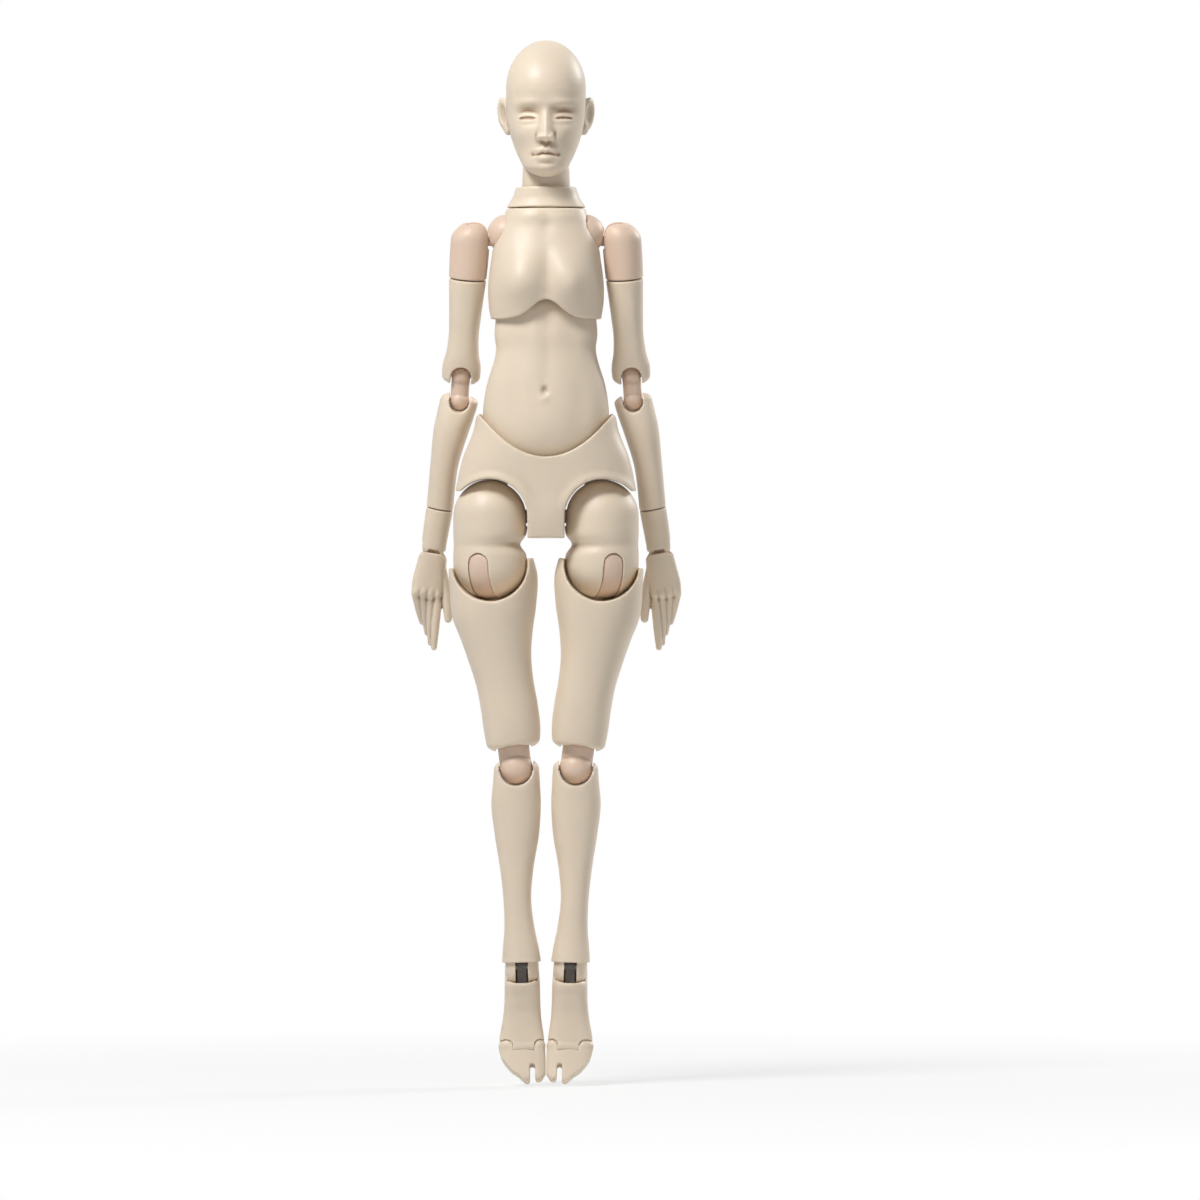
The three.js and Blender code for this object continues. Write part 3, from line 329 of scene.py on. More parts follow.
def tube(rows):
    """Rings in a grid (row, side, xyz), counterclockwise seen from the last; a point closes each end."""
    count, sides, _ = rows.shape
    ring = np.arange(count * sides).reshape(count, sides)
    after = np.roll(ring, -1, axis=1)
    lower = np.stack([ring[:-1], after[:-1], after[1:]], -1).reshape(-1, 3)
    upper = np.stack([ring[:-1], after[1:], ring[1:]], -1).reshape(-1, 3)
    first = np.stack([np.full(sides, count * sides), after[0], ring[0]], -1)
    last = np.stack([np.full(sides, count * sides + 1), ring[-1], after[-1]], -1)
    ends = rows[[0, -1]].mean(axis=1)
    return Skin(np.vstack([rows.reshape(-1, 3), ends]), np.concatenate([lower, upper, first, last]))


def grid(x, y, z):
    """Points (row, side, xyz) from coordinates that vary by row, by side or by both."""
    return np.stack(np.broadcast_arrays(x, y, z), -1)


def circle(sides):
    """Evenly spaced angles of a full turn."""
    return np.arange(sides) * (2 * np.pi / sides)


def loft(stations, top=0.0, bottom=0.0, power=2.2, full=2.0, sides=72, rings=70):
    """Superellipse rings along Z, smoothed through stations [z, x, y, half width, front, back].

    The parameters are height and turn: cosine and sine of the turn, each to the power 2 / power, are scaled
    by the half width and by the front or back depth. An end is flat, or a dome whose size falls as
    (1 - u^full)^(1/full).
    """
    stations = np.array(stations, float)
    low, high = stations[[0, -1], 0]
    rise = np.cos(np.linspace(0.05, np.pi / 2, 16)[:-1])
    dome = (1 - rise**full) ** (1 / full)
    levels = [np.linspace(low + bottom, high - top, rings)]
    scale = [np.ones(rings)]
    if bottom:
        levels.insert(0, low + bottom * (1 - rise))
        scale.insert(0, dome)
    if top:
        levels.append(high - top * (1 - rise[::-1]))
        scale.append(dome[::-1])
    z = np.concatenate(levels)
    scale = np.concatenate(scale)[:, None]
    x, y, wide, front, back = track(stations[:, 0], stations[:, 1:], z).T[:, :, None]
    around = circle(sides)
    waves = np.stack([np.cos(around), np.sin(around)])
    across, along = np.sign(waves) * np.abs(waves) ** (2 / power)
    depth = np.where(along < 0, front, back)
    return tube(grid(x + scale * wide * across, y + scale * depth * along, z[:, None]))


def egg(centre, radii, sides=48):
    """An ellipsoid: turn and tilt are the parameters."""
    tilt = np.linspace(0.04, np.pi - 0.04, sides // 2 + 1)[:, None]
    around = circle(sides)
    wide = np.sin(tilt)
    rows = grid(wide * np.cos(around), wide * np.sin(around), -np.cos(tilt))
    return tube(rows * np.asarray(radii, float) + np.asarray(centre, float))


def ball(radius, x=0.0, y=0.0, z=0.0):
    """A sphere round a point."""
    return egg((x, y, z), (radius, radius, radius))


def rod(low, high, low_radius, high_radius=None, sides=40):
    """A rod or cone along Z between two heights."""
    radii = np.array([low_radius, low_radius if high_radius is None else high_radius])[:, None]
    around = circle(sides)
    heights = np.array([low, high], float)[:, None]
    return tube(grid(radii * np.cos(around), radii * np.sin(around), heights))


def barrel(radius, *axes, power=3.0):
    """A ball squared off about one axis or several.

    In each direction its radius is the least of those of the superellipses turned about the axes.
    """
    skin = ball(1.0)
    along = np.abs(skin.points[:, axes])
    across = np.sqrt(np.maximum(1 - along**2, 0))
    grown = (along**power + across**power) ** (-1 / power)
    return Skin(radius * grown.min(axis=1)[:, None] * skin.points, skin.triangles)


def cross_rod(radius, wide):
    """A rod along X, centred on the origin."""
    return rod(-wide / 2, wide / 2, radius).at(turn("Y", 90))


def block(wide, deep, high, x=0.0, y=0.0, z=0.0):
    """A box: a four-sided ring at two heights."""
    corners = np.array([[-1, -1], [1, -1], [1, 1], [-1, 1]]) * (wide / 2, deep / 2)
    rows = np.empty((2, 4, 3))
    rows[:, :, :2] = corners
    rows[:, :, 2] = np.array([-high / 2, high / 2])[:, None]
    return tube(rows + np.array([x, y, z], float))


def prism(outline, front, back):
    """A prism along Y between two depths.

    Its outline in X and Z runs counterclockwise seen from the front, in full view of its mean point.
    """
    outline = np.asarray(outline, float)
    rows = np.empty((2, len(outline), 3))
    rows[:, :, 0] = outline[:, 0]
    rows[:, :, 2] = outline[:, 1]
    rows[:, :, 1] = np.array([back, front], float)[:, None]
    return tube(rows)


def arc(wide, high, start, end, steps=32):
    """Points on part of an ellipse about the origin, in X and Z."""
    swing = np.radians(np.linspace(start, end, steps))
    return np.stack([wide * np.cos(swing), high * np.sin(swing)], -1)


def arch(radius, front=-FAR, back=FAR, up=False):
    """A half round at the origin whose straight sides run down, or up."""
    sign = 1 if up else -1
    start = 180 if up else 0
    ends = [[sign * radius, sign * FAR], [-sign * radius, sign * FAR]]
    return prism(np.vstack([arc(radius, radius, start, start + 180), ends]), front, back)


def peg_sweep(radius, reach, start, end):
    """The space that a peg along -X sweeps while its ball turns about Y, from one angle to another."""
    sector = np.vstack([arc(reach, reach, 180 - end, 180 - start), [[0, 0]]])
    pegs = [block(reach, 2 * radius, 2 * radius, -reach / 2).at(turn("Y", swing)) for swing in (start, end)]
    return [prism(sector, -radius, radius), *pegs]


def bar(path, radii, sides=28):
    """A round bar along a smooth path of points, with a radius at each and half balls for ends."""
    path = np.asarray(path, float)
    levels = np.linspace(0, 1, len(path))
    at = np.linspace(0, 1, 36)
    middle = track(levels, path, at)
    radius = track(levels, np.asarray(radii, float)[:, None], at)
    along = np.gradient(middle, axis=0)
    along /= np.linalg.norm(along, axis=1)[:, None]
    swing = np.linspace(0.15, np.pi / 2, 8)[:-1, None]
    first = middle[0] - along[0] * radius[0] * np.cos(swing)
    last = middle[-1] + along[-1] * radius[-1] * np.cos(swing[::-1])
    middle = np.vstack([first, middle, last])
    radius = np.vstack([radius[0] * np.sin(swing), radius, radius[-1] * np.sin(swing[::-1])])
    along = np.vstack([np.repeat(along[:1], 7, 0), along, np.repeat(along[-1:], 7, 0)])
    side = np.cross([0.0, 1.0, 0.0], along)
    side /= np.linalg.norm(side, axis=1)[:, None]
    other = np.cross(along, side)
    around = circle(sides)[:, None]
    spoke = np.cos(around) * side[:, None] + np.sin(around) * other[:, None]
    return tube(middle[:, None] + radius[:, None] * spoke)


def mesh_of(name, points, triangles):
    """A smooth-shaded mesh from whole arrays."""
    mesh = bpy.data.meshes.new(name)
    mesh.vertices.add(len(points))
    mesh.vertices.foreach_set("co", points.astype(np.float32).ravel())
    mesh.loops.add(triangles.size)
    mesh.loops.foreach_set("vertex_index", triangles.ravel())
    mesh.polygons.add(len(triangles))
    mesh.polygons.foreach_set("loop_start", np.arange(0, triangles.size, 3, dtype=np.int32))
    mesh.polygons.foreach_set("use_smooth", np.ones(len(triangles), bool))
    mesh.update(calc_edges=True)
    return mesh


def moulded(base, joined=(), cuts=(), voxel=1.0, rounds=5):
    """One moulded skin: base joined with others, less cuts, then remeshed so that its rims are rounded.

    Boolean modifiers join and cut, a voxel Remesh at this share of the set fineness makes even facets, and
    a Smooth modifier rounds the rims over this many passes.
    """
    coarseness = 1
    fineness = sizes(bpy.context.scene.figure.finish).voxel * voxel * coarseness
    made = []

    def stand(skin):
        """A helper object with this skin, in millimetres."""
        thing = bpy.data.objects.new("tool", mesh_of("tool", skin.points, skin.triangles))
        bpy.context.scene.collection.objects.link(thing)
        made.append(thing)
        return thing

    body = stand(base)
    for operation, tools in (("UNION", joined), ("DIFFERENCE", cuts)):
        for tool in tools:
            modifier = body.modifiers.new(operation, "BOOLEAN")
            modifier.operation = operation
            modifier.solver = "MANIFOLD"
            modifier.object = stand(tool)
    remesh = body.modifiers.new("Remesh", "REMESH")
    remesh.mode = "VOXEL"
    remesh.voxel_size = fineness
    smooth = body.modifiers.new("Smooth", "SMOOTH")
    smooth.factor = 0.5
    smooth.iterations = rounds
    shown = body.evaluated_get(bpy.context.evaluated_depsgraph_get())
    mesh = bpy.data.meshes.new_from_object(shown)
    skin = skin_of(mesh)
    bpy.data.meshes.remove(mesh)
    for thing in made:
        shape = thing.data
        bpy.data.objects.remove(thing)
        bpy.data.meshes.remove(shape)
    return skin


def skin_of(mesh):
    """The points and triangles of a mesh."""
    mesh.calc_loop_triangles()
    points = np.empty(len(mesh.vertices) * 3, np.float32)
    mesh.vertices.foreach_get("co", points)
    triangles = np.empty(len(mesh.loop_triangles) * 3, np.int32)
    mesh.loop_triangles.foreach_get("vertices", triangles)
    return Skin(points.reshape(-1, 3), triangles.reshape(-1, 3))


def mark_hollows(mesh):
    """Stores how hollow the surface is at each point.

    That is how far the mean of its neighbours lies along its normal, per squared edge, evened out.
    """
    count = len(mesh.vertices)
    edges = np.empty(len(mesh.edges) * 2, np.int32)
    mesh.edges.foreach_get("vertices", edges)
    near, far = edges.reshape(-1, 2).T
    links = np.bincount(edges, minlength=count)
    points = np.empty(count * 3, np.float32)
    mesh.vertices.foreach_get("co", points)
    points = points.reshape(-1, 3) / MM
    normals = np.empty(count * 3, np.float32)
    mesh.vertex_normals.foreach_get("vector", normals)

    def mean(values):
        """The mean of a point's neighbours."""
        sums = np.bincount(near, values[far], count) + np.bincount(far, values[near], count)
        return sums / links

    offset = np.stack([mean(points[:, axis]) for axis in range(3)], -1) - points
    edge = np.mean(np.sum((points[near] - points[far]) ** 2, axis=1))
    hollow = np.sum(offset * normals.reshape(-1, 3), axis=1) / edge
    for _ in range(10):
        hollow = (hollow + mean(hollow)) / 2
    # The materials paint shade into the hollows and a highlight onto the rims from this measure.
    layer = mesh.attributes.new("hollow", "FLOAT", "POINT")
    layer.data.foreach_set("value", np.clip(2 * hollow, -1, 1).astype(np.float32))


def show(node, skin, body, look):
    """The finished piece: in metres, on its body, in place of its node, with its plastic or metal."""
    mesh = mesh_of(f"{node}_skin", skin.points * MM, np.ascontiguousarray(skin.triangles))
    mark_hollows(mesh)
    mesh.materials.append(material(look))
    piece = bpy.data.objects.new(f"{node}_skin", mesh)
    bpy.context.scene.collection.objects.link(piece)
    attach(piece, body)
    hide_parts(node)


def show_pair(node, skin, body, look, limb):
    """A piece and its mirror image, from the skin in the frame of the left limb."""
    for side, sign in SIDES.items():
        show(f"{side}_{node}", skin.at(Matrix.Scale(sign, 4, (1, 0, 0)) @ limb), f"{side}_{body}", look)


class Wire:
    """One output of a node tree; sums, differences and products of wires and numbers make Math nodes."""

    def __init__(self, tree, socket=None):
        self.tree = tree
        self.socket = socket

    def node(self, kind, inputs, settings=None, output=0):
        """Any node: its settings by name, its inputs by name or number, and one output as a wire."""
        made = self.tree.nodes.new(kind)
        for name, value in (settings or {}).items():
            setattr(made, name, value)
        for name, value in inputs.items():
            if isinstance(value, Wire):
                self.tree.links.new(value.socket, made.inputs[name])
            else:
                made.inputs[name].default_value = value
        return Wire(self.tree, made.outputs[output]) if made.outputs else made

    def maths(self, operation, first, second):
        """A Math node on two wires or numbers."""
        return self.node("ShaderNodeMath", {0: first, 1: second}, {"operation": operation})

    def __add__(self, other):
        return self.maths("ADD", self, other)

    def __radd__(self, other):
        return self.maths("ADD", other, self)

    def __sub__(self, other):
        return self.maths("SUBTRACT", self, other)

    def __rsub__(self, other):
        return self.maths("SUBTRACT", other, self)

    def __mul__(self, other):
        return self.maths("MULTIPLY", self, other)

    def __rmul__(self, other):
        return self.maths("MULTIPLY", other, self)

    def clamped(self, low=0.0, high=1.0):
        """This value, kept between two limits."""
        return self.node("ShaderNodeClamp", {"Value": self, "Min": low, "Max": high})

    def tint(self, first, second):
        """A colour that goes from the first to the second as this wire goes from 0 to 1."""
        settings = {"data_type": "RGBA", "clamp_factor": True}
        return self.node("ShaderNodeMix", {0: self, 6: first, 7: second}, settings, output=2)


def seen_rays(start):
    """1 for what the camera sees, in mirrors and through glass too, and 0 for all other light."""
    kinds = ("Camera", "Glossy", "Transmission")
    camera, glossy, through = (
        start.node("ShaderNodeLightPath", {}, output=f"Is {kind} Ray") for kind in kinds
    )
    return (camera + glossy + through).clamped()


def rgba(shade, light=1.0):
    """A colour made lighter or darker, with full alpha."""
    return (*(min(1.0, part * light) for part in shade), 1.0)


def material(look):
    """The material of a look, made once: moulded satin plastic with painted shade and highlights, or
    brushed metal for the pins.
    """
    if look in bpy.data.materials:
        return bpy.data.materials[look]
    finish = bpy.context.scene.figure.finish
    made = bpy.data.materials.new(look)
    made.use_nodes = True
    tree = made.node_tree
    shader = tree.nodes["Principled BSDF"]
    start = Wire(tree)
    spot = start.node("ShaderNodeTexCoord", {}, output="Object")
    clouds = spot.node("ShaderNodeTexNoise", {"Vector": spot, "Scale": 55.0, "Detail": 3.0})
    specks = spot.node("ShaderNodeTexNoise", {"Vector": spot, "Scale": 900.0, "Detail": 2.0})
    hollow = spot.node("ShaderNodeAttribute", {}, {"attribute_name": "hollow"}, output="Fac")
    shade = getattr(finish, look)
    body = clouds.tint(rgba(shade, 0.93), rgba(shade, 1.05))
    # Painted shade: how far the hollows and creases are tinted towards the shade colour, where shadow
    # falls.
    painted_shade_share = (hollow * 1.6).clamped() * 0.75
    # Painted highlight: how far the convex rims are lightened, where light catches them.
    edge = (hollow * -0.9).clamped() * 0.35
    if look == "steel":
        brushed = spot.node("ShaderNodeTexNoise", {"Vector": spot, "Scale": 2600.0, "Detail": 4.0})
        tone = brushed.tint(rgba(shade, 0.85), rgba(shade, 1.15))
        rough = brushed * 0.2 + 0.22
        shader.inputs["Metallic"].default_value = 0.9
    elif look == "grey":
        # Random specks in the grey, lightened on the rims as a painted highlight.
        tone = (specks * 0.6 + edge).clamped().tint(rgba(shade, 0.6), rgba(shade, 1.5))
        rough = specks * 0.15 + 0.45
    else:
        # Random clouds of tone, with painted shade in the hollows and a painted highlight on the rims.
        tone = edge.tint(painted_shade_share.tint(body, rgba(finish.painted_shade_colour)), rgba(shade, 1.22))
        rough = clouds * 0.1 + specks * 0.08 + (finish.roughness - 0.09)
        shader.inputs["Subsurface Weight"].default_value = 0.12
        shader.inputs["Subsurface Radius"].default_value = (1.0, 0.55, 0.25)
        shader.inputs["Subsurface Scale"].default_value = 0.0015
    grain = spot.node("ShaderNodeBump", {"Height": specks, "Distance": finish.grain, "Strength": 0.5})
    tree.links.new(tone.socket, shader.inputs["Base Color"])
    tree.links.new(rough.socket, shader.inputs["Roughness"])
    tree.links.new(grain.socket, shader.inputs["Normal"])
    return made


def abdomen_loft(torso, clearance):
    """The abdomen, or the space it needs with a clearance all round."""
    slim = torso.waist_width / 2
    narrow = torso.waist_ball + 0.66 * (torso.chest_ball - torso.waist_ball)

    def station(z, width, front, back):
        return [z, 0, 0, width * slim + clearance, front + clearance, back + clearance]

    stations = [
        station(torso.bowl - clearance, 1.22, 10.8, 9.6),
        station(torso.waist_ball, 1.26, 11.2, 10),
        station(torso.waist_ball + 0.37 * (narrow - torso.waist_ball), 1.2, 10.9, 9.4),
        station(narrow, 1, 9.6, 8.1),
        station((narrow + torso.chest_ball) / 2, 1.03, 9.6, 8.1),
        station(torso.chest_ball, 1.01, 9.2, 7.9),
        station(torso.abdomen_top + clearance, 0.98, 9, 7.8),
    ]
    top = torso.abdomen_top - torso.chest_ball + clearance
    return loft(stations, top=top, bottom=torso.waist_ball - torso.bowl + clearance, full=2.4, sides=96)


def torso_peg(torso, reach):
    """A ball on a peg that runs up or down to its reach, less a gap."""
    tip = math.copysign(abs(reach) - torso.gap, reach)
    return moulded(ball(torso.ball_radius), [rod(min(0, tip), max(0, tip), torso.peg_radius)], rounds=2)


class FIGURE_OT_head(bpy.types.Operator):
    """Head: an egg-shaped skull with lidded eyes, nose, lips and ears, hollowed for the neck's ball."""

    bl_idname = "figure.head"
    bl_label = "Head"

    def execute(self, context):
        head, torso = figure_sizes(context, "head", "torso")
        wide = head.width / 2
        stations = [
            [head.chin, 0, -7, 0.42 * wide, 4.2, 4],
            [head.chin + 0.08 * head.height, 0, -5, 0.57 * wide, 7.4, 7],
            [head.chin + 0.2 * head.height, 0, -1, 0.76 * wide, 11.8, 9.5],
            [head.chin + 0.35 * head.height, 0, 0, 0.92 * wide, 13.2, 13],
            [head.chin + 0.5 * head.height, 0, 0, 0.98 * wide, 12.8, 15.6],
            [head.chin + 0.65 * head.height, 0, 0, wide, 13.4, 16.6],
            [head.chin + head.height, 0, 1, wide, 12.5, 16],
        ]
        skull = loft(stations, top=0.36 * head.height, bottom=0.08 * head.height, sides=128, rings=120)
        ears = [ear for side in (-1, 1) for ear in self.ear(head, side)]
        ball_z = head.chin + head.head_ball
        socket = ball(head.neck_radius + torso.gap, 0, head.neck_y, ball_z)
        mouth = rod(ball_z - FAR, ball_z + 0.37 * head.neck_radius, head.neck_radius + 1.5 * torso.gap)
        cuts = [socket, mouth.at(shift(y=head.neck_y)), *(self.concha(head, side) for side in (-1, 1))]
        skin = moulded(skull, ears, cuts, voxel=0.62, rounds=4)
        show("head", self.face(head, skin), "head", "ivory")
        return {"FINISHED"}

    @staticmethod
    def ear_frame(head, side):
        """Where an ear stands: out from the skull, its back turned outwards."""
        spot = shift(side * (head.width / 2 + 0.5), 2.6, head.chin + head.ear_rise)
        return spot @ turn("Z", -side * 32) @ turn("Y", side * 8)

    def ear(self, head, side):
        """The shell of an ear and its lobe."""
        shell = egg((0, 0, 0.4), (1.2, 3.1, 5.0))
        lobe = egg((0, -0.9, -3.8), (1.0, 1.6, 2.0))
        return [form.at(self.ear_frame(head, side)) for form in (shell, lobe)]

    def concha(self, head, side):
        """The hollow of an ear."""
        return egg((side * 1.5, -0.6, 0.6), (1.3, 2.1, 3.7)).at(self.ear_frame(head, side))

    @staticmethod
    def face(head, skin):
        """The face: the front of the skull comes forward by a relief, a sum of bell curves over X and Z."""
        x, y, z = skin.points.T
        across = np.abs(x)
        eye = z - head.chin - head.eye_rise
        nose = z - head.chin - head.nose_rise
        mouth = z - head.chin - head.mouth_rise

        def bell(*parts):
            """1 at the middle and less away from it, by the square of each part."""
            return np.exp(-sum(part**2 for part in parts))

        def ramp(value, low, high):
            """0 below the low value, 1 above the high one, and a smooth step between."""
            u = np.clip((value - low) / (high - low), 0, 1)
            return u * u * (3 - 2 * u)

        # The eyes: hollow, brow, ball, slit, fold above and lid below.
        side = (across - head.eye_spread) / 2.7
        relief = -2.3 * bell((across - 4.9) / 3.4, (eye - 0.7) / 2.3)
        relief += 0.7 * bell((across - 5.2) / 4.0, (eye - 4.0) / 1.3)
        relief += 1.5 * bell(side, (eye - 0.2) / 1.5)
        slit = -0.35 - 0.35 * side**2
        opening = 0.38 * np.clip(1 - side**2, 0, 1) + 0.02
        relief -= 0.75 * bell(side**3, (eye - slit) / opening)
        relief -= 0.15 * bell(side**2, (eye - 1.55 + 0.5 * side**2) / 0.28)
        relief += 0.3 * bell(side**2, (eye + 1.3 - 0.4 * side**2) / 0.5)
        # The nose: ridge, wings, the creases beside them and the nostrils.
        tall = np.clip(1 - nose / (head.eye_rise - head.nose_rise + 2.0), 0, 1)
        ridge = (0.7 + 1.9 * tall**1.5) * ramp(nose, -1.9, 0.2) * ramp(-nose, -9.5, -5.5)
        relief += ridge * bell(x / (1.25 + 0.85 * tall**2))
        relief += 1.0 * bell((across - 1.75) / 0.75, (nose - 0.25) / 0.9)
        relief -= 0.35 * bell((across - 2.75) / 0.5, (nose - 0.3) / 1.1)
        relief -= 0.4 * bell((across - 0.95) / 0.5, (nose + 1.25) / 0.4)
        # The mouth: groove, upper and lower lip, the line between them, corners, hollow below and chin.
        relief -= 0.12 * bell(x / 0.6, (mouth - 2.4) / 0.8)
        line = -0.1 - 0.035 * x**2 + 0.22 * bell((across - 0.9) / 0.7)
        relief += 0.7 * bell(x / 2.9, (mouth - 1.0 - 0.25 * bell((across - 0.8) / 0.6)) / 0.75)
        relief += 0.8 * bell(x / 2.3, (mouth + 1.2) / 0.9)
        relief -= 0.5 * bell((x / 3.5) ** 2, (mouth - line) / 0.25)
        relief -= 0.5 * bell((across - 3.7) / 0.7, (mouth + 0.2) / 0.7)
        relief -= 0.2 * bell(x / 2.6, (mouth + 2.7) / 0.9)
        relief += 0.9 * bell(x / 2.9, (mouth + 4.7) / 1.7)
        # The cheekbones and the hollows under them.
        relief += 0.55 * bell((across - 6.6) / 2.8, (eye + 4.6) / 2.6)
        relief -= 0.5 * bell((across - 6.8) / 2.2, (mouth - 1.5) / 3.2)
        skin.points[:, 1] -= relief * ramp(-y, 4, 8)
        return skin


class FIGURE_OT_neck(bpy.types.Operator):
    """Neck: a column with a ball at its foot, the ball inside the head, and the flared collar round it."""

    bl_idname = "figure.neck"
    bl_label = "Neck"

    def execute(self, context):
        head, torso = figure_sizes(context, "head", "torso")
        radius = head.neck_radius
        ball_z = head.chin + head.head_ball
        rise = ball_z - head.neck_ball
        bore = rod(rise - 2 * radius, rise, torso.peg_radius + torso.gap)
        column = rod(0, rise - torso.fit, radius, radius - torso.gap)
        neck = moulded(ball(radius), [column], [bore], voxel=0.7, rounds=1)
        show("neck", neck.at(shift(y=head.neck_y, z=head.neck_ball)), "neck", "ivory")
        lower_half = block(FAR, FAR, FAR, z=-FAR / 2)
        dome = moulded(ball(radius - torso.gap), cuts=[lower_half], voxel=0.7, rounds=1)
        knob = moulded(dome, [rod(-1.8 * radius, 1, torso.peg_radius)], voxel=0.7, rounds=1)
        show("neck_ball", knob.at(shift(y=head.neck_y, z=ball_z)), "neck_ball", "ivory")
        wide = head.collar_width / 2
        brim = radius + 1.6
        middle = (head.collar_top + head.collar_foot) / 2
        flare = loft(
            [
                [head.collar_foot - torso.fit, 0, head.neck_y, wide, wide - 2, wide - 2],
                [middle, 0, head.neck_y, brim + 1, brim, brim],
                [head.collar_top, 0, head.neck_y, brim, brim, brim],
            ]
        )
        hole = rod(head.collar_foot - 1, head.collar_top + 1, radius + torso.gap, radius + 2.5 * torso.gap)
        collar = moulded(flare, cuts=[hole.at(shift(y=head.neck_y))], voxel=0.8, rounds=4)
        show("neck_collar", collar, "chest", "ivory")
        return {"FINISHED"}


class FIGURE_OT_chest(bpy.types.Operator):
    """Chest: a ribcage with a shallow bust over an arched rim, in a front and a back shell, and its peg."""

    bl_idname = "figure.chest"
    bl_label = "Chest"

    def execute(self, context):
        head, torso, arm = figure_sizes(context, "head", "torso", "arm")
        wide = torso.chest_width / 2

        def height(part):
            return torso.chest_rim + part * (torso.chest_top - torso.chest_rim)

        stations = [
            [torso.chest_rim, 0, 0, 0.975 * wide, 10.8, 9.4],
            [height(0.16), 0, 0, 1.02 * wide, 12, 9.6],
            [height(0.34), 0, 0, 1.02 * wide, 12.8, 10],
            [height(0.54), 0, 0, 0.97 * wide, 12.2, 10.4],
            [height(0.7), 0, 0.5, 0.92 * wide, 11, 10.4],
            [height(0.86), 0, 1, 0.8 * wide, 10, 9.8],
            [torso.chest_top, 0, 1.5, 0.7 * wide, 9.6, 9.2],
        ]
        trunk = loft(stations, power=2.3, sides=128, rings=110)
        for side in (-1, 1):
            bust = (side * 0.46 * wide, -12, height(0.36))
            trunk = trunk.pressed(bust, (5.8, 9, 6.8), (side * 0.3, -2.9, -0.6))
            collar_bone = (side * 0.3 * wide, -9, height(0.93))
            trunk = trunk.pressed(collar_bone, (5, 6, 1.6), (0, -0.5, 0))
        # The hollows between the breasts, at the throat and along the spine.
        trunk = trunk.pressed((0, -12, height(0.36)), (2.3, 9, 8), (0, 1.1, 0))
        trunk = trunk.pressed((0, -10, height(0.86)), (2, 6, 3), (0, 0.5, 0))
        trunk = trunk.pressed((0, 10, height(0.5)), (2.2, 7, 12), (0, -0.9, 0))
        for side in (-1, 1):
            shoulder_blade = (side * 0.5 * wide, 10, height(0.62))
            trunk = trunk.pressed(shoulder_blade, (4.5, 7, 6), (0, 0.7, 0))
        across = np.linspace(wide, -wide, 61)
        rise = torso.chest_arch * np.exp(-((across / (0.36 * wide)) ** 2))
        bell = np.stack([across, torso.chest_rim + rise], -1)
        foot = [[-wide, torso.chest_rim - FAR], [wide, torso.chest_rim - FAR]]
        peg_top = torso.abdomen_top + 10
        cuts = [
            abdomen_loft(torso, torso.play),
            prism(np.vstack([bell, foot]), -FAR, 0),
            rod(torso.chest_ball, peg_top, torso.peg_radius + torso.gap),
            ball(head.neck_radius + torso.gap, 0, head.neck_y, head.neck_ball),
        ]
        for side in (-1, 1):
            mirror = Matrix.Scale(side, 4, (1, 0, 0))
            sleeve = rod(-FAR, 0, arm.radius + 2 * torso.gap)
            cuts.append(ball(arm.clavicle_radius + torso.gap).at(mirror @ Matrix.Translation(arm.clavicle)))
            cuts.append(ball(arm.radius + 2.5 * torso.gap).at(mirror @ Matrix.Translation(arm.shoulder)))
            cuts.append(sleeve.at(mirror @ arm_frame(arm)))
        seam = head.neck_y / 2
        for node, side in (("chest_front", -1), ("chest_back", 1)):
            other_half = block(FAR, FAR, 3 * FAR, 0, seam - side * (FAR - torso.gap) / 2, torso.chest_top)
            show(node, moulded(trunk, cuts=[*cuts, other_half], rounds=9), "chest", "ivory")
        peg = torso_peg(torso, peg_top - torso.chest_ball)
        show("chest_peg", peg.at(shift(z=torso.chest_ball)), "chest_peg", "blush")
        return {"FINISHED"}


class FIGURE_OT_abdomen(bpy.types.Operator):
    """Abdomen: an oval waist with a navel and a soft midline, and its peg in the pelvis."""

    bl_idname = "figure.abdomen"
    bl_label = "Abdomen"

    def execute(self, context):
        torso, leg = figure_sizes(context, "torso", "leg")
        belly = abdomen_loft(torso, 0)
        # The swell of the belly, the midline, the spine, and the hollows under the ribs and at the flanks.
        belly = belly.pressed((0, -11, torso.navel - 10), (8, 7, 7), (0, -0.8, 0))
        belly = belly.pressed((0, -11, torso.navel + 14), (2.4, 6, 13), (0, 0.45, 0))
        belly = belly.pressed((0, 9, torso.navel + 8), (1.8, 6, 18), (0, -0.7, 0))
        for side in (-1, 1):
            belly = belly.pressed((side * 7.5, -10, torso.navel + 17), (3.5, 6, 6), (0, 0.5, 0))
            belly = belly.pressed((side * 10, -9, torso.navel - 4), (3, 7, 9), (0, 0.5, 0))
        cuts = [ball(torso.ball_radius + torso.gap, z=z) for z in (torso.chest_ball, torso.waist_ball)]
        bore = torso.peg_radius + torso.gap
        cuts.append(rod(torso.chest_ball, torso.abdomen_top + 1, bore, 1.9 * torso.peg_radius))
        cuts.append(rod(torso.bowl - 1, torso.waist_ball, 2.6 * torso.peg_radius, bore))
        belly = moulded(belly, cuts=cuts, rounds=4)
        # The navel and the fold under it.
        belly = belly.pressed((-0.3, -11.5, torso.navel), (1.0, 3, 1.3), (0, 0.9, 0.3))
        belly = belly.pressed((-0.3, -11.5, torso.navel - 2.2), (1.4, 3, 1.2), (0, -0.35, 0))
        show("abdomen", belly, "abdomen", "ivory")
        peg = torso_peg(torso, leg.hip[2] + leg.peg + 2 * torso.gap - torso.waist_ball)
        show("waist_peg", peg.at(shift(z=torso.waist_ball)), "waist_peg", "blush")
        return {"FINISHED"}


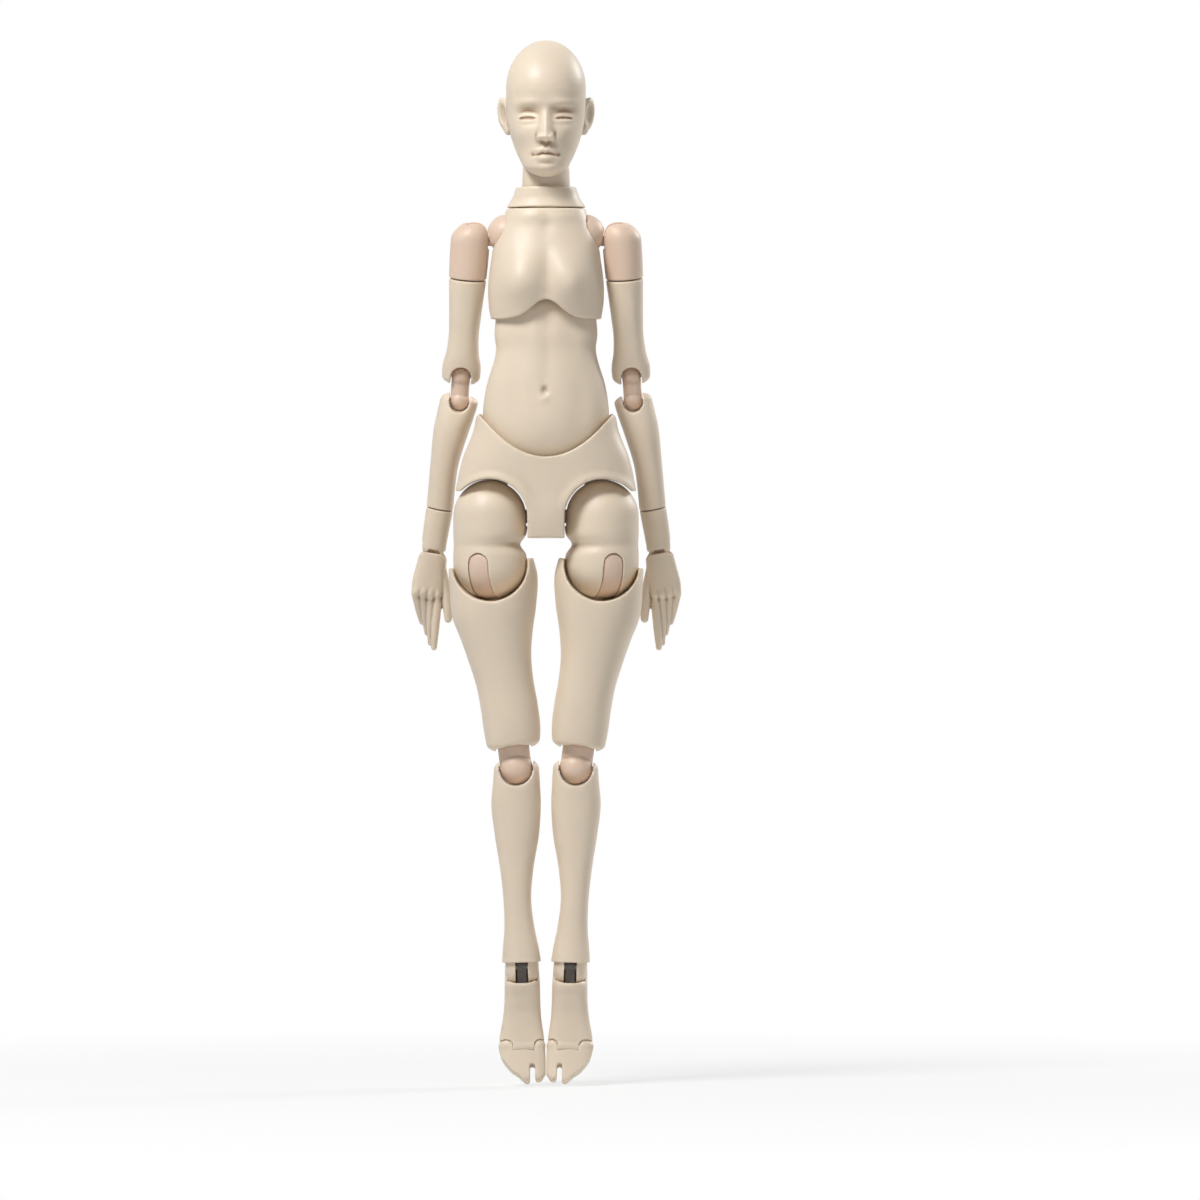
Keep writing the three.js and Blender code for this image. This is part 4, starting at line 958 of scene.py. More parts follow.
class FIGURE_OT_pelvis(bpy.types.Operator):
    """Pelvis: a basin that dips in front, with turned-out lips over the arches of the legs."""

    bl_idname = "figure.pelvis"
    bl_label = "Pelvis"

    def execute(self, context):
        torso, leg = figure_sizes(context, "torso", "leg")
        wide = torso.hip_width / 2
        reach = 0.775 * wide
        stations = [
            [-2, 0, 0, 0.86 * wide, 8.6, 11],
            [0.17 * torso.pelvis_top, 0, 0, 0.97 * wide, 10.6, 13.6],
            [0.4 * torso.pelvis_top, 0, 0, wide, 11.6, 14.8],
            [0.62 * torso.pelvis_top, 0, 0, 0.94 * wide, 12.2, 14.2],
            [0.84 * torso.pelvis_top, 0, 0, 0.82 * wide, 12.6, 12.6],
            [torso.pelvis_top, 0, 0, reach, 12.9, 11.8],
        ]
        basin = loft(stations, power=2.3, sides=128, rings=110)
        # The mound in front, the buttocks and the cleft between them.
        basin = basin.pressed((0, -11, 6), (5, 8, 7), (0, -0.7, 0))
        for side in (-1, 1):
            basin = basin.pressed((side * 0.42 * wide, 14, 15), (6, 8, 8), (0, 1.2, 0))
        basin = basin.pressed((0, 15, 12), (2, 8, 11), (0, -1.6, 0))
        across = np.linspace(-reach, reach, 40)
        cuts = [
            abdomen_loft(torso, torso.play),
            rod(leg.hip[2] + leg.peg + torso.gap, torso.bowl, torso.peg_radius + torso.gap),
            block(FAR, FAR, FAR, z=-FAR / 2),
        ]
        for dip, front, back in ((torso.pelvis_dip, -FAR, 0), (torso.pelvis_dip / 2, -1, FAR)):
            curve = np.stack([across, torso.pelvis_top - dip * (1 - (across / reach) ** 2)], -1)
            lid = [[reach, torso.pelvis_top + 1], [-reach, torso.pelvis_top + 1]]
            cuts.append(prism(np.vstack([curve, lid]), front, back))
        for side in (-1, 1):
            x, y, z = leg.hip * (side, 1, 1)
            room = leg.radius + torso.fit
            socket = [ball(room), block(2 * room, FAR, FAR, z=-FAR / 2)]
            socket += [arch(room, -FAR, -leg.socket_band), arch(room, leg.socket_band, FAR)]
            cuts += [tool.at(shift(x, y, z)) for tool in socket]
            cuts.append(cross_rod(leg.peg + torso.gap, leg.hip[0]).at(shift(x / 2, y, z)))
            wing_end = block(10, FAR, 8, side * (wide + 3), 0, 9.6)
            cuts.append(wing_end)
            tip = shift(side * (reach - 0.4), 0, torso.pelvis_top - 0.9) @ turn("Y", side * 50)
            cuts.append(block(FAR, FAR, 10, 0, 0, 5).at(tip))
        pelvis = moulded(basin, cuts=cuts, rounds=8)
        show("pelvis", self.lips(leg, torso, pelvis), "pelvis", "ivory")
        return {"FINISHED"}

    @staticmethod
    def lips(leg, torso, pelvis):
        """The rims of the leg arches swell outwards along the oval's normal, most on the wings."""
        x, y, z = pelvis.points.T
        away = np.hypot(np.abs(x) - leg.hip[0], z - leg.hip[2]) - leg.radius - torso.gap
        rise = np.clip((z - leg.hip[2]) / 6, 0, 1)
        swell = 0.7 * np.exp(-((away / 1.8) ** 2)) * rise**2 * (3 - 2 * rise)
        outward = np.stack([x / torso.hip_width**2 * 4, y / 12**2, 0 * z], -1)
        outward /= np.linalg.norm(outward, axis=1)[:, None] + 1e-9
        inner = np.hypot(x / (torso.hip_width / 2), y / 13) < 0.72
        pelvis.points += (swell * ~inner)[:, None] * outward
        return pelvis


def arm_frame(arm):
    """Where the arm hangs: its origin is the shoulder."""
    return Matrix.Translation(arm.shoulder) @ turn("X", arm.back) @ turn("Y", -arm.lean)


def fore_frame(arm):
    """Where the forearm hangs: its origin is the lower elbow pin."""
    return arm_frame(arm) @ shift(z=-arm.upper - arm.elbow_span) @ turn("Y", -arm.fore_lean)


def leg_frame(leg):
    """Where the thigh hangs: its origin is the thigh hinge."""
    return Matrix.Translation(leg.hip) @ shift(z=-leg.drop) @ turn("Y", leg.lean)


def shin_frame(leg):
    """Where the shin hangs: its origin is the lower knee pin."""
    return leg_frame(leg) @ shift(z=-leg.thigh - leg.knee_span) @ turn("Y", -leg.shin_lean)


def double_link(lobe, span, pin_radius, lean, gap):
    """Two balls on a waist, between the pins of a double hinge. The lower pin leans with the lower limb."""
    bore = cross_rod(pin_radius + gap, 3 * lobe)
    bores = [bore, bore.at(shift(z=-span) @ turn("Y", -lean))]
    waist = rod(-span, 0, 0.72 * lobe).at(Matrix.Scale(1.3, 4, (1, 0, 0)))
    return moulded(ball(lobe), [ball(lobe, z=-span), waist], bores, voxel=0.6, rounds=3)


def pin(radius, wide):
    """A pin with softened ends."""
    return moulded(cross_rod(radius, wide), voxel=0.6, rounds=2)


class FIGURE_OT_shoulders(bpy.types.Operator):
    """Shoulders: the balls of the collar bones, their pegs, and the caps of the arms."""

    bl_idname = "figure.shoulders"
    bl_label = "Shoulders"

    def execute(self, context):
        torso, arm = figure_sizes(context, "torso", "arm")
        offset = arm.shoulder - arm.clavicle
        dish = ball(arm.radius + torso.gap, *offset)
        bore = cross_rod(arm.peg + torso.gap, 3 * arm.clavicle_radius).at(shift(0, offset[1], offset[2]))
        clavicle = moulded(ball(arm.clavicle_radius), cuts=[dish, bore], voxel=0.8, rounds=4)
        show_pair("clavicle", clavicle, "clavicle", "blush", Matrix.Translation(arm.clavicle))
        reach = offset[0] + arm.clavicle_radius / 2
        shaft = cross_rod(arm.peg, reach).at(shift(-reach / 2))
        peg = moulded(ball(arm.ball), [shaft], voxel=0.8, rounds=2)
        show_pair("shoulder_peg", peg, "shoulder_peg", "blush", Matrix.Translation(arm.shoulder))
        radius = arm.radius
        stations = [
            [-arm.cap, 0, 0, 0.96 * radius, 1.04 * radius, 1.04 * radius],
            [-arm.cap / 2, 0, 0, 0.99 * radius, 1.04 * radius, 1.04 * radius],
            [0, 0, 0, radius, radius, radius],
            [radius, 0, 0, radius, radius, radius],
        ]
        cap = loft(stations, top=radius, power=2, full=2.15)
        # The peg needs room while the arm lifts sideways, by these angles.
        sweep = peg_sweep(arm.peg + torso.gap, 2 * radius, arm.lean - 6, 84)
        bore = rod(-arm.cap - 1, -arm.cap / 2, 0.45 * radius + torso.gap)
        x, _, z = cap.points.T
        cap.points[:, 2] -= 0.17 * x * np.clip(z / radius + 0.3, 0, 1)
        cap = moulded(cap, cuts=[ball(arm.ball + torso.gap), bore, *sweep], voxel=0.8, rounds=3)
        show_pair("shoulder_cap", cap, "shoulder_cap", "blush", arm_frame(arm))
        return {"FINISHED"}


class FIGURE_OT_arms(bpy.types.Operator):
    """Arms: upper arms, double-hinged elbow links with their pins, and forearms."""

    bl_idname = "figure.arms"
    bl_label = "Arms"

    def execute(self, context):
        torso, arm = figure_sizes(context, "torso", "arm")
        radius = arm.radius
        top = -arm.cap - torso.gap

        def at(part):
            return top + part * (-arm.upper - top)

        upper = loft(
            [
                [-arm.upper - arm.elbow_end, 0, 0, 0.96 * radius, 3.4, 3.4],
                [-arm.upper, 0, 0, 0.98 * radius, 3.7, 3.9],
                [at(0.9), 0, 0, 0.98 * radius, 4.3, 4.4],
                [at(0.76), 0, 0, 0.84 * radius, 4.7, 4.7],
                [at(0.58), 0, 0, 0.77 * radius, 4.7, 4.7],
                [at(0.38), 0, 0, 0.82 * radius, 5.1, 5.1],
                [top, 0, 0, 0.95 * radius, 1.02 * radius, 1.02 * radius],
            ],
            bottom=arm.elbow_end,
        )
        peg = rod(top - 1, -arm.cap / 2 - torso.gap, 0.45 * radius)
        elbow = shift(z=-arm.upper)
        upper = moulded(upper, [peg], [arch(arm.elbow_lobe + torso.fit).at(elbow)], voxel=0.7, rounds=3)
        show_pair("upper_arm", upper, "upper_arm", "ivory", arm_frame(arm))
        link = double_link(arm.elbow_lobe, arm.elbow_span, arm.pin / 2, arm.fore_lean, torso.fit)
        show_pair("elbow_link", link, "elbow_link", "blush", arm_frame(arm) @ elbow)
        rivet = pin(arm.pin / 2, arm.elbow_pin)
        show_pair("upper_elbow_pin", rivet, "upper_arm", "steel", arm_frame(arm) @ elbow)
        show_pair("lower_elbow_pin", rivet, "forearm", "steel", fore_frame(arm))
        tip = arm.elbow_end - 0.6
        fore = loft(
            [
                [-arm.fore, 0.4, 0, 3.9, 3.9, 3.9],
                [-0.6 * arm.fore, 1.2, 0, 4.1, 4.9, 4.8],
                [-0.28 * arm.fore, 0.9, 0, 5.1, 5.6, 5.3],
                [-0.13 * arm.fore, 0.4, 0, 5.4, 5.1, 4.8],
                [0, 0, 0, 5.5, 3.9, 3.9],
                [tip, 0, 0, 5.4, 3.5, 3.5],
            ],
            top=tip,
        )
        bore = rod(-arm.fore - 1, -0.8 * arm.fore, arm.cuff_peg + torso.gap)
        cuts = [arch(arm.elbow_lobe + torso.fit, up=True), bore]
        fore = moulded(fore, cuts=cuts, voxel=0.7, rounds=3)
        show_pair("forearm", fore, "forearm", "ivory", fore_frame(arm))
        return {"FINISHED"}


class FIGURE_OT_hands(bpy.types.Operator):
    """Hands: cuffs that twist below the forearms, wrist pegs on their pins, and relaxed open hands."""

    bl_idname = "figure.hands"
    bl_label = "Hands"

    def execute(self, context):
        torso, arm = figure_sizes(context, "torso", "arm")
        wrist = shift(z=-arm.wrist)
        cuff = loft(
            [
                [-arm.wrist - arm.wrist_radius, 0.3, 0, 3.6, arm.wrist_radius, arm.wrist_radius],
                [-arm.wrist, 0.3, 0, 3.6, arm.wrist_radius, arm.wrist_radius],
                [(-arm.wrist - arm.fore) / 2, 0.4, 0, 3.8, 3.5, 3.5],
                [-arm.fore - torso.gap, 0.4, 0, 3.9, 3.85, 3.85],
            ],
            bottom=arm.wrist_radius,
        )
        peg = rod(-arm.fore - 1, -0.8 * arm.fore - torso.gap, arm.cuff_peg)
        wide = arm.tongue + 2 * torso.fit
        slot = block(wide, FAR, FAR, z=-arm.wrist - 0.2 * arm.wrist_radius - FAR / 2)
        cuts = [slot, cross_rod(arm.eye + torso.gap, wide).at(wrist), cross_rod(arm.pin, FAR).at(wrist)]
        cuff = moulded(cuff, [peg], cuts, voxel=0.6, rounds=3)
        show_pair("wrist_cuff", cuff, "wrist_cuff", "ivory", fore_frame(arm))
        stand = fore_frame(arm) @ wrist
        show_pair("wrist_pin", pin(arm.pin, arm.wrist_pin), "wrist_cuff", "ivory", stand)
        neck = block(arm.tongue, 2.2, 3.6, 0, 0, -1.8)
        stem = rod(-arm.wrist_stem, -3.2, arm.stem)
        bore = cross_rod(arm.pin + torso.gap, FAR)
        tongue = moulded(cross_rod(arm.eye, arm.tongue), [neck, stem], [bore], voxel=0.6, rounds=2)
        show_pair("wrist_peg", tongue, "hand", "blush", stand)
        show_pair("hand", self.hand(torso, arm), "hand", "ivory", stand)
        return {"FINISHED"}

    @staticmethod
    def hand(torso, arm):
        """A flat palm joined with bent bars for the fingers and thumb, cut for the stem and the wrist."""
        palm = loft(
            [
                [-arm.palm - 1.5, -0.3, 0, 4.6, 1.6, 1.6],
                [-0.8 * arm.palm, 0, 0, 4.8, 2.3, 2.3],
                [-0.45 * arm.palm, 0, 0, 4.4, 2.8, 2.8],
                [-0.55 * arm.wrist_radius, 0, 0, 4, arm.wrist_radius + 0.2, arm.wrist_radius + 0.2],
            ],
            bottom=2,
            power=2.6,
        )
        joined = []
        knuckles = (-3.3, -1.1, 1.1, 3.3)
        reaches = (15.4, 14.6, 12, 9)
        inward_leans = (0.09, 0.17, 0.27, 0.38)
        back_leans = (0.1, 0.25, 0.4, 0.5)
        for x, reach, inward, back in zip(knuckles, reaches, inward_leans, back_leans):
            lean = np.array([-inward, back, -1]) * reach
            base = np.array([x, 0, -arm.palm])
            path = [base, base + 0.4 * lean + (0, -0.3, 0), base + 0.7 * lean + (0, -0.2, 0), base + lean]
            radii = arm.finger * np.array([1.05, 1.0, 0.92, 0.72])
            joined.append(bar(path, radii))
        thumb = [
            [-2.6, 0, -0.42 * arm.palm],
            [-4.9, 0.2, -0.8 * arm.palm],
            [-6.6, 0.3, -1.16 * arm.palm],
            [-7.4, 0.4, -1.43 * arm.palm],
        ]
        joined.append(bar(thumb, (arm.finger + 0.3) * np.array([1.15, 1.05, 1.0, 0.75])))
        joined.append(egg((-2.4, 0.5, -0.55 * arm.palm), (2.2, 2.5, 4.2)))
        stem_room = rod(-arm.wrist_stem - torso.gap, 0, arm.stem + torso.gap)
        cuts = [stem_room, cross_rod(arm.wrist_radius + torso.fit, FAR)]
        hand = moulded(palm, joined, cuts, voxel=0.6, rounds=4)
        for x in knuckles:
            hand = hand.pressed((x, -2, -arm.palm + 0.6), (0.9, 2, 1.3), (0, -0.4, 0))
            hand = hand.pressed((x - 1.1, -2, -arm.palm - 0.6), (0.5, 2, 1.6), (0, 0.35, 0))
        return hand


def wheel(leg, clearance):
    """The crowned wheel of the thigh hinge: a profile with a bulged edge, turned about X.

    The points above the round top of the slot are brought down to it, so the wheel ends in a tongue.
    """
    half = leg.wheel_width / 2 + clearance
    edge = leg.wheel - leg.crown + clearance
    x = np.linspace(-half, half, 25)[:, None]
    radius = edge + leg.crown * (1 - (x / half) ** 2)
    around = circle(160)
    top = leg.mouth + clearance - half + np.sqrt(np.maximum(half**2 - x**2, 0))
    height = np.minimum(radius * np.sin(around), top)
    return tube(grid(x, radius * np.cos(around), height))


class FIGURE_OT_hips(bpy.types.Operator):
    """Hips: pegs, two-lobed caps with a round-topped slot, and the crowned tongues in the slots."""

    bl_idname = "figure.hips"
    bl_label = "Hips"

    def execute(self, context):
        torso, leg = figure_sizes(context, "torso", "leg")
        hip = Matrix.Translation(leg.hip)
        reach = leg.hip[0] - 1
        peg = moulded(ball(leg.ball), [cross_rod(leg.peg, reach).at(shift(-reach / 2))], rounds=2)
        show_pair("hip_peg", peg, "hip_peg", "blush", hip)
        radius = leg.radius
        deep = leg.waist
        near = radius - 0.1 * deep
        crease = radius - deep * np.array([0.7, 0.55, 0.2])
        cap = loft(
            [
                [-leg.drop - radius, 0, 0, radius, radius, radius],
                [-leg.drop, 0, 0, radius, radius, radius],
                [-0.8 * leg.drop, 0.1 * deep, 0, near, near, radius],
                [-0.6 * leg.drop, 0.6 * deep, 0, *crease],
                [-0.4 * leg.drop, 0.1 * deep, 0, near, near, radius],
                [0, 0, 0, radius, radius, radius],
                [radius, 0, 0, radius, radius, radius],
            ],
            top=radius,
            bottom=radius,
            power=2,
            sides=96,
            rings=80,
        )
        turned = shift(z=-leg.drop) @ turn("Z", leg.wheel_turn)
        half = leg.wheel_width / 2 + torso.gap / 2
        mouth = arch(half, -FAR, 0).at(shift(z=leg.mouth + torso.gap / 2 - half))
        below = block(2 * half, 2 * radius, radius, 0, 0, -radius)
        axle_room = cross_rod(leg.axle + torso.gap, leg.wheel_width + 5)
        slots = [wheel(leg, torso.gap / 2), mouth, below, axle_room]
        # The peg needs room while the leg spreads, by these angles.
        sweep = peg_sweep(leg.peg + torso.gap, 2 * radius, -2, 48)
        cuts = [ball(leg.ball + torso.gap), *sweep]
        cuts += [slot.at(turned) for slot in slots]
        show_pair("hip_cap", moulded(cap, cuts=cuts, voxel=0.7, rounds=3), "hip_cap", "ivory", hip)
        axle = cross_rod(leg.axle, leg.wheel_width + 4).at(turned)
        stem = rod(-2 * radius, -0.9 * radius, leg.stem).at(shift(z=-leg.drop) @ turn("Y", leg.lean))
        tongue = moulded(wheel(leg, 0).at(turned), [axle, stem], voxel=0.7, rounds=3)
        show_pair("thigh_tongue", tongue, "thigh_tongue", "blush", hip)
        return {"FINISHED"}


class FIGURE_OT_legs(bpy.types.Operator):
    """Legs: thighs with an open cup, double-hinged knee links with their pins, and shins."""

    bl_idname = "figure.legs"
    bl_label = "Legs"

    def execute(self, context):
        torso, leg = figure_sizes(context, "torso", "leg")
        end = leg.knee_span / 2 + 0.3
        thigh = loft(
            [
                [-leg.thigh - end, 0, 0, 7.4, 6.4, 6],
                [-0.98 * leg.thigh, -0.3, 0, 8.2, 7.8, 6.6],
                [-0.84 * leg.thigh, -0.3, 0, 8.3, 8.6, 7.6],
                [-0.7 * leg.thigh, 0.1, 0, 8.35, 9, 8.6],
                [-0.56 * leg.thigh, 0.6, 0, 9.1, 9.8, 9.6],
                [-0.42 * leg.thigh, 0.7, 0, 10.5, 11, 11],
                [-0.28 * leg.thigh, 0.6, 0, 12.3, 12.2, 12.4],
                [-0.1 * leg.thigh, -0.3, 0, 12.9, 12.8, 13],
                [0, -0.2, 0, 12.4, 12.4, 12.6],
            ],
            bottom=0.55 * end,
            sides=96,
            rings=100,
        )
        cup = leg.radius + torso.gap
        lobe = leg.knee_lobe + torso.fit
        knee = shift(z=-leg.thigh)
        rim = shift(z=-leg.thigh - end + leg.knee_rim_rise - leg.knee_rim)
        cuts = [
            ball(cup),
            arch(cup, -FAR, -0.3 * leg.radius, up=True),
            rod(-2 * leg.radius - torso.gap, 0, leg.stem + torso.gap),
            ball(lobe).at(knee),
            arch(lobe, -0.8 * lobe, FAR).at(knee),
            rod(-FAR, FAR, leg.knee_rim, sides=120).at(rim @ turn("X", 90)),
        ]
        show_pair("thigh", moulded(thigh, cuts=cuts, rounds=9), "thigh", "ivory", leg_frame(leg))
        link = double_link(leg.knee_lobe, leg.knee_span, leg.knee_pin / 2, leg.shin_lean, torso.fit)
        show_pair("knee_link", link, "knee_link", "blush", leg_frame(leg) @ knee)
        rivet = pin(leg.knee_pin / 2, leg.knee_pin_length)
        show_pair("upper_knee_pin", rivet, "thigh", "steel", leg_frame(leg) @ knee)
        show_pair("lower_knee_pin", rivet, "shin", "steel", shin_frame(leg))
        end = leg.knee_span / 2 - 1.7
        shin = loft(
            [
                [-0.976 * leg.shin, 0, 0, 5.7, 5.7, 5.7],
                [-0.9 * leg.shin, 0.1, 0, 5.2, 5.1, 5.2],
                [-0.81 * leg.shin, 0.3, 0, 4.45, 4.5, 4.9],
                [-0.66 * leg.shin, 0.7, 0.3, 4.05, 4.6, 5.2],
                [-0.5 * leg.shin, 0.6, 0.6, 4.9, 5.2, 6.6],
                [-0.34 * leg.shin, 0.3, 0.8, 6.4, 6, 8],
                [-0.18 * leg.shin, 0.3, 0.5, 7.2, 6.4, 7.6],
                [-0.06 * leg.shin, 0, 0, 6.8, 6.2, 6.2],
                [end, -0.2, 0, 6.4, 5, 4.6],
            ],
            top=end,
            rings=90,
        )
        cuts = [
            arch(lobe, up=True),
            ball(leg.ankle + torso.gap, z=-leg.shin),
            barrel(leg.ankle + torso.fit, UP).at(shift(z=-leg.shin)),
            rod(-leg.shin, -0.86 * leg.shin, torso.peg_radius + torso.gap),
        ]
        show_pair("shin", moulded(shin, cuts=cuts, voxel=0.9, rounds=4), "shin", "ivory", shin_frame(leg))
        return {"FINISHED"}


def foot_outline(leg):
    """The whole foot, heel to toe along -Y, in rings whose half height runs from the sole to the instep."""
    sole = leg.sole + leg.sole_round

    def station(part, x, width, instep):
        half = (sole + instep) / 2
        return [leg.foot * part, x, half - sole, width * leg.foot_width / 2, half, half]

    stations = [
        station(0, 0, 0.7, -4.6),
        station(0.2, 0, 0.74, -3.6),
        station(0.33, 0, 0.76, 3),
        station(0.42, 0.1, 0.77, 0.4),
        station(0.52, 0.3, 0.82, -2.6),
        station(0.66, leg.toe_out, 0.95, -5),
        station(0.78, leg.toe_out, 0.99, -6),
        station(1, leg.toe_out, 0.97, -7),
    ]
    along = shift(y=leg.heel) @ turn("X", 90)
    outline = loft(stations, top=0.05 * leg.foot, bottom=0.1 * leg.foot, power=FOOT_POWER, rings=90)
    return outline.at(along)


class FIGURE_OT_feet(bpy.types.Operator):
    """Feet: slotted ankles with a flat hinge, pointed feet and split toes round a tab."""

    bl_idname = "figure.feet"
    bl_label = "Feet"

    def execute(self, context):
        torso, arm, leg = figure_sizes(context, "torso", "arm", "leg")
        radius = leg.ankle
        ankle = shin_frame(leg) @ shift(z=-leg.shin)
        reach = 2 * radius
        slot = block(leg.slot, 2 * reach, 2 * reach, 0, 0.45 * radius - reach, 0.5 * radius - reach)
        peg = rod(0, 0.13 * leg.shin, torso.peg_radius)
        bore = cross_rod(arm.pin + torso.gap, FAR)
        knob = moulded(barrel(radius, ACROSS, UP), [peg], [slot, bore], voxel=0.7, rounds=2)
        show_pair("ankle_ball", knob, "ankle_ball", "ivory", ankle)
        show_pair("ankle_pin", pin(arm.pin, leg.ankle_pin), "ankle_ball", "steel", ankle)
        wide = leg.slot - 2 * torso.gap
        stem_length = 2.4 * radius
        shank = block(wide, wide, 1.14 * radius, z=-0.57 * radius)
        stem = rod(-stem_length, -radius, wide / 2)
        hinge = moulded(cross_rod(0.4 * radius, wide), [shank, stem], [bore], voxel=0.6, rounds=1)
        show_pair("ankle_hinge", hinge, "ankle_hinge", "grey", ankle)
        foot = ankle @ turn("X", leg.point)
        show_pair("foot", self.foot(torso, leg, stem_length), "foot", "ivory", foot)
        show_pair("toes", self.toes(torso, leg), "toes", "ivory", foot)
        return {"FINISHED"}

    @staticmethod
    def toe_hinge(leg):
        """Where the toes hinge, in the frame of the foot."""
        return leg.heel - leg.foot + leg.toes, leg.toe_axis - leg.sole

    @staticmethod
    def toe_split(leg):
        """How far across the foot the gap beside the big toe lies."""
        return -0.17 * leg.foot_width

    def knuckle(self, leg, low, high, dip=0.0, clearance=0.0):
        """The toe knuckle between two widths: a body turned about the toe hinge and flush with the instep.

        Its radius falls to the sides as a superellipse, and dips where the lobes meet the tab.
        """
        y, z = self.toe_hinge(leg)
        x = np.linspace(low, high, 60)[:, None]
        aside = np.abs(2 * (x - leg.toe_out) / leg.foot_width)
        fall = np.maximum(1 - aside**FOOT_POWER, 0.01) ** (1 / FOOT_POWER)
        beside = np.exp(-(((np.abs(x) - leg.tab / 2) / 0.9) ** 2))
        radius = leg.knuckle * fall * (1 - dip * beside) + clearance
        around = circle(96)
        return tube(grid(x, y + radius * np.cos(around), z + radius * np.sin(around)))

    def lobes(self, leg, clearance, dip=0.2):
        """The knuckle's two ends, on either side of the tab."""
        inner = leg.tab / 2 - clearance
        outer = leg.foot_width / 2 + clearance
        ends = ((leg.toe_out - outer, -inner), (inner, leg.toe_out + outer))
        return [self.knuckle(leg, low, high, dip, clearance) for low, high in ends]

    @staticmethod
    def ground(leg):
        """Everything under the flat sole."""
        return block(FAR, 2 * FAR, FAR, 0, 0, -leg.sole - FAR / 2)

    def foot(self, torso, leg, stem_length):
        """The foot behind the toe hinge, with room for the ankle, the bending shin and the toes."""
        y, _ = self.toe_hinge(leg)
        tilt = turn("X", -leg.point)
        cuts = [
            self.ground(leg),
            block(FAR, FAR, FAR, 0, y - FAR / 2, 0),
            barrel(leg.ankle + torso.gap, ACROSS),
            rod(0, FAR, leg.ankle + 1).at(tilt),
            rod(-stem_length - torso.gap, 0, leg.slot / 2).at(tilt),
            *self.lobes(leg, 2 * torso.fit),
        ]
        for bend in np.linspace(0, leg.point, 5):
            cuts.append(rod(1, FAR, leg.ankle + 1.2).at(turn("X", bend - leg.point)))
        tab = self.knuckle(leg, torso.fit - leg.tab / 2, leg.tab / 2 - torso.fit)
        instep = moulded(foot_outline(leg), cuts=cuts, voxel=0.7, rounds=2)
        return moulded(instep, [tab], [self.ground(leg)], voxel=0.7, rounds=2)

    def toes(self, torso, leg):
        """The foot in front of the toe hinge, split beside the big toe, with the knuckle's two ends."""
        y, z = self.toe_hinge(leg)
        tip = y - leg.toes
        flat = turn("X", 90)
        gap = arch(leg.toe_gap / 2, up=True)
        front = moulded(
            foot_outline(leg),
            cuts=[
                block(FAR, FAR, FAR, 0, y - 2 * torso.fit + FAR / 2, 0),
                gap.at(shift(self.toe_split(leg), tip + leg.toe_gap_length - leg.toe_gap / 2) @ flat),
                self.small_toes(leg, -y).at(flat),
            ],
            voxel=0.6,
            rounds=5,
        )
        cuts = [cross_rod(leg.knuckle + torso.fit, leg.tab).at(shift(0, y, z)), self.ground(leg)]
        return moulded(self.tips(leg, tip, front), self.lobes(leg, 0.0), cuts, voxel=0.6, rounds=2)

    def tips(self, leg, tip, toes):
        """The ends of the toes drawn back to half an ellipse across each toe, less so away from the tip."""
        x, y, _ = toes.points.T
        gap = self.toe_split(leg)
        big = x < gap
        middle = np.where(big, leg.toe_out / 2 - leg.foot_width / 4 + gap / 2, 0.0)
        half = np.where(big, gap - middle, -gap) - leg.toe_gap / 2
        across = np.clip((x - middle) / half, -1, 1)
        near = np.clip(1 - (y - tip) / 3.5, 0, 1)
        drawn_back = np.where(big, 1.7, 0.8)
        toes.points[:, 1] = y + drawn_back * near * (1 - np.sqrt(1 - across**2))
        return toes

    @staticmethod
    def small_toes(leg, hinge):
        """What lies outside the curved edge of the small toes, in the plan of the foot."""
        half = leg.foot_width / 2
        across = half * np.array([1.05, 0.99, 0.86, 0.53, 0.08, -0.07, -0.2])
        along = hinge + leg.toes * np.array([0.1, 0.25, 0.42, 0.66, 0.89, 0.96, 1.0])
        edge = track(np.linspace(0, 1, 7), np.stack([across, along], -1), np.linspace(0, 1, 13))
        far = [[edge[-1, 0], FAR], [2 * half, FAR], [FAR, FAR], [FAR, hinge + leg.toes], [FAR, edge[0, 1]]]
        return prism(np.vstack([edge, far])[::-1], -FAR, FAR)


